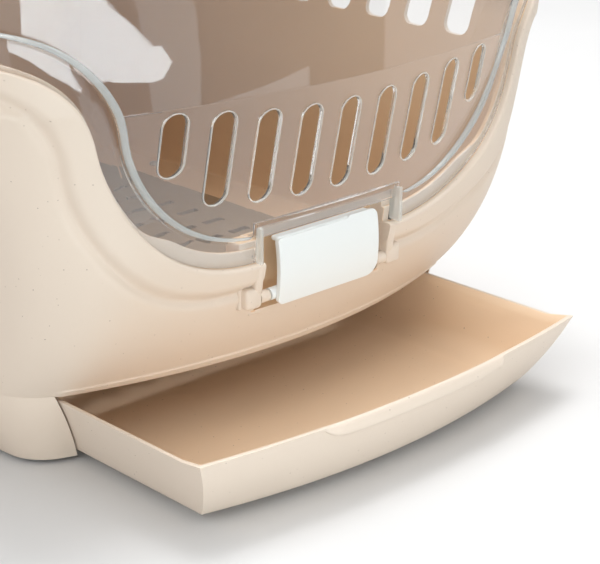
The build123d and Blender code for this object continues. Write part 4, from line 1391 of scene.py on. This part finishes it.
# ------------------------------------------------------------------ latch
@dataclass
class LatchPlate:
    """White latch plate, gently bowed, with round corners and a lip turned back at the top. Millimetres."""

    half: float = 37.7
    barrel_half: float = 40.3
    foot: float = 85.0
    top: float = 124.0
    front: float = -248.2
    wall: float = 3.0
    corners: tuple[float, float, float, float] = (2.6, 4.0, 4.5, 8.5)
    step_x: float = 15.8
    step_drop: float = 1.3
    edge_round: float = 1.1
    barrel_radius: float = 3.4
    bow: float = 2.0
    bow_forward: float = 1.1

    def corner(self, x: float, z: float) -> float:
        """Rounding radius of the corner on that side: left top, left foot, right top, right foot."""
        return self.corners[(2 if x > 0 else 0) + (0 if z > 0 else 1)]

    def plate(self) -> Piece:
        """Bowed plate with round corners.

        Returns:
            The plate.
        """
        mesh = bmesh.new()
        wide, high = 72, 32
        grid = []
        middle = (self.foot + self.top) / 2
        half_high = (self.top - self.foot) / 2
        for j in range(high + 1):
            row = []
            for i in range(wide + 1):
                x = -self.half + 2 * self.half * i / wide
                z = -half_high + 2 * half_high * j / high
                corner = self.corner(x, z)
                over_x = max(0.0, abs(x) - (self.half - corner)) / corner
                over_z = max(0.0, abs(z) - (half_high - corner)) / corner
                if over_x > 0 and over_z > 0:
                    round_x = over_x * math.sqrt(1 - over_z**2 / 2)
                    round_z = over_z * math.sqrt(1 - over_x**2 / 2)
                    x = math.copysign(self.half - corner + round_x * corner, x)
                    z = math.copysign(half_high - corner + round_z * corner, z)
                drop = self.step_drop * (1 - smooth(x, self.step_x - 1, self.step_x + 1))
                z -= drop * max(0.0, z / half_high) ** 6
                share = z / half_high
                y = self.front - self.bow_forward + self.bow * share**2
                row.append(mesh.verts.new((x * MM, y * MM, (z + middle) * MM)))
            grid.append(row)
        for j in range(high):
            for i in range(wide):
                mesh.faces.new((grid[j][i], grid[j][i + 1], grid[j + 1][i + 1], grid[j + 1][i]))
        shape = from_bmesh("latch_plate", mesh)
        thick = shape.modifiers.new("wall", "SOLIDIFY")
        thick.thickness = self.wall * MM
        thick.offset = -1.0
        edge = shape.modifiers.new("edge", "BEVEL")
        edge.width = self.edge_round * MM
        edge.segments = 4
        edge.limit_method = "ANGLE"
        edge.angle_limit = math.radians(50)
        return baked(shape, "latch_plate")

    def build(self, finishes: FinishSet) -> None:
        """Builds and dresses the latch.

        Args:
            finishes: all finishes.
        """
        plate = self.plate()
        latch_low, latch_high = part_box("latch")
        half, front, top = self.half, self.front, self.top
        lip = rounded_piece(
            "latch_lip", (-half + 0.6, front + 1.6, top - 3.4), (half - 4, front + 7.4, top - 0.6), 1.2
        )
        knuckle = bmesh.new()
        radius, depth = self.barrel_radius * MM, 2 * self.barrel_half * MM
        bmesh.ops.create_cone(
            knuckle, cap_ends=True, segments=40, radius1=radius, radius2=radius, depth=depth
        )
        for vert in knuckle.verts:
            vert.co = Vector((vert.co.z, vert.co.x + PIN_Y * MM, vert.co.y + PIN_Z * MM))
        bmesh.ops.recalc_face_normals(knuckle, faces=knuckle.faces)
        web = rounded_piece(
            "latch_web", (-half + 2, front + 1.2, PIN_Z - 2.4), (half - 2, PIN_Y, PIN_Z + 2.4), 0.8
        )
        barrel = from_bmesh("latch_barrel", knuckle)
        barrel.data.set_sharp_from_angle(angle=math.radians(40))
        for part in (plate, lip, barrel, web):
            part.data.materials.append(finishes.made[Slot.WHITE])
            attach(part, Body.LATCH.value)
        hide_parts("latch")
        LOG.info("latch ready, box %s %s", latch_low, latch_high)


# ------------------------------------------------------------------ studio
@dataclass(frozen=True)
class Lamp:
    """A soft square area lamp. Metres and watts."""

    name: str
    place: Point
    aim: Point
    side: float
    power: float

    def build(self) -> None:
        """Hangs the lamp and turns it to its aim."""
        data = bpy.data.lights.new(self.name, "AREA")
        data.energy = self.power
        data.shape = "RECTANGLE"
        data.size = data.size_y = self.side
        lamp = linked(self.name, data)
        lamp.location = self.place
        turned = Vector(self.aim) - Vector(self.place)
        lamp.rotation_euler = turned.to_track_quat("-Z", "Y").to_euler()


@dataclass(frozen=True)
class Softbox:
    """An upright glowing panel in front of the box, seen in reflections only. Metres."""

    name: str
    y: float
    strength: float
    corners: Outline
    glow: tuple[float, float, float, float] = (0.91, 1.0, 1.05, 1)

    def build(self) -> None:
        """Sets up the panel with a slightly uneven glow."""
        material, tree, shader = new_material(self.name)
        strength = spread(tree, noise(tree, Scale=4.0), 0.92 * self.strength, 1.08 * self.strength)
        tree.links.new(strength, shader.inputs["Emission Strength"])
        shader.inputs["Emission Color"].default_value = self.glow
        shader.inputs["Base Color"].default_value = (0.1, 0.1, 0.1, 1)
        panel = flat_sheet(self.name, [(x, self.y, z) for x, z in self.corners], material)
        panel.visible_camera = False


@dataclass
class Studio:
    """Pale floor, soft lamps, glowing panels, a grey card, the world and the camera."""

    camera_place: Point = (-0.6214, -0.8728, 0.4151)
    azimuth: float = 43.8
    drop: float = 20.3
    lens: float = 102.6
    sensor: float = 36.0
    floor_reach: float = 3.0
    floor_front: float = -0.60
    card_y: float = -2.2
    card_half: float = 2.4
    lamps: tuple[Lamp, ...] = (
        Lamp("key_lamp", (0.6, -2.0, 1.4), (0.0, -0.1, 0.15), 1.3, 5.0),
        Lamp("top_lamp", (0.1, -0.3, 2.2), (0.0, 0.0, 0.2), 1.8, 12.2),
        Lamp("left_lamp", (-1.9, -0.6, 1.3), (0.0, -0.1, 0.2), 1.0, 8.0),
        Lamp("rear_lamp", (0.42, 0.32, 2.4), (-0.05, -0.1, 0.0), 1.2, 46.0),
    )
    panels: tuple[Softbox, ...] = (
        Softbox("low_softbox", -0.95, 7.1, (
            (-1.0, 0.052), (-0.06, 0.058), (0.04, 0.050), (0.07, 0.052), (0.092, 0.066), (0.02, 0.112),
            (-0.03, 0.158), (-0.06, 0.19), (-0.12, 0.215), (-1.0, 0.205),
        )),
        Softbox("side_softbox", -0.962, 1.3, ((0.0, -0.24), (0.50, -0.24), (0.50, 0.015), (0.0, 0.015))),
        Softbox("strip_softbox", -0.956, 1.1, (
            (0.055, -0.03), (0.16, -0.03), (0.165, 0.06), (0.125, 0.22), (0.0, 0.22),
        )),
    )

    def build(self) -> None:
        """Builds the whole studio."""
        self.make_floor()
        self.make_world()
        for thing in (*self.lamps, *self.panels):
            thing.build()
        self.make_card()
        self.make_camera()

    def make_card(self) -> None:
        """Grey card in front of the scene, beyond the floor's edge, for calm reflections."""
        material, tree, shader = new_material("grey_card")
        tone = spread(tree, noise(tree, Scale=60.0), 0.28, 0.33)
        tree.links.new(tone, shader.inputs["Base Color"])
        shader.inputs["Roughness"].default_value = 0.9
        half = self.card_half
        corners = ((-half, -1.4), (half, -1.4), (half, 0.9), (-half, 0.9))
        card = flat_sheet("front_card", [(x, self.card_y, z) for x, z in corners], material)
        card.visible_camera = False

    def make_floor(self) -> None:
        """Pale floor that keeps the object's shadow and ends just in front of the drawer."""
        material, tree, shader = new_material("pale_floor")
        tone = blend_colours(tree, noise(tree, Scale=30.0), (0.66, 0.66, 0.66, 1), (0.69, 0.69, 0.69, 1))
        tree.links.new(tone, shader.inputs["Base Color"])
        shader.inputs["Roughness"].default_value = 0.9
        shader.inputs["Specular IOR Level"].default_value = 0.1
        half, front = self.floor_reach, self.floor_front
        corners = (
            (-half, -0.30), (-0.5, -0.30), (-0.24, -0.40), (-0.20, -0.54), (0.3, front),
            (half, front), (half, half), (-half, half),
        )
        floor = flat_sheet("floor", [(x, y, 0) for x, y in corners], material)

    def make_world(self) -> None:
        """World: soft for the object, white behind it."""
        world = bpy.data.worlds.new("studio_world")
        bpy.context.scene.world = world
        world.use_nodes = True
        tree = world.node_tree
        back = tree.nodes["Background"]
        path = tree.nodes.new("ShaderNodeLightPath").outputs
        seen = combine(tree, "MAXIMUM", path["Is Camera Ray"], path["Is Transmission Ray"])
        also = combine(tree, "MAXIMUM", seen, path["Is Glossy Ray"])
        tree.links.new(spread(tree, also, 0.6, 1.0), back.inputs["Strength"])
        back.inputs["Color"].default_value = (1, 1, 1, 1)

    def make_camera(self) -> None:
        """Camera at the viewing angle."""
        data = bpy.data.cameras.new("camera")
        data.lens = self.lens
        data.sensor_width = self.sensor
        data.clip_start = 0.01
        camera = linked("camera", data)
        camera.location = self.camera_place
        turn, dip = math.radians(self.azimuth), math.radians(self.drop)
        look = Vector((math.sin(turn) * math.cos(dip), math.cos(turn) * math.cos(dip), -math.sin(dip)))
        camera.rotation_euler = look.to_track_quat("-Z", "Y").to_euler()
        bpy.context.scene.camera = camera


def main() -> None:
    """Builds the box and its studio in order."""
    logging.basicConfig(level=logging.INFO, format="%(name)s: %(message)s")
    bpy.context.scene.view_settings.view_transform = "Standard"
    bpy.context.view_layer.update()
    finishes = FinishSet()
    finishes.build()
    finishes.dress_nodes()
    BowlShell().build(finishes)
    DrawerTray().build(finishes)
    VisorTrim().build(finishes)
    LatchPlate().build(finishes)
    Studio().build()
    LOG.info("studio ready")


if __name__ == "__main__":
    main()
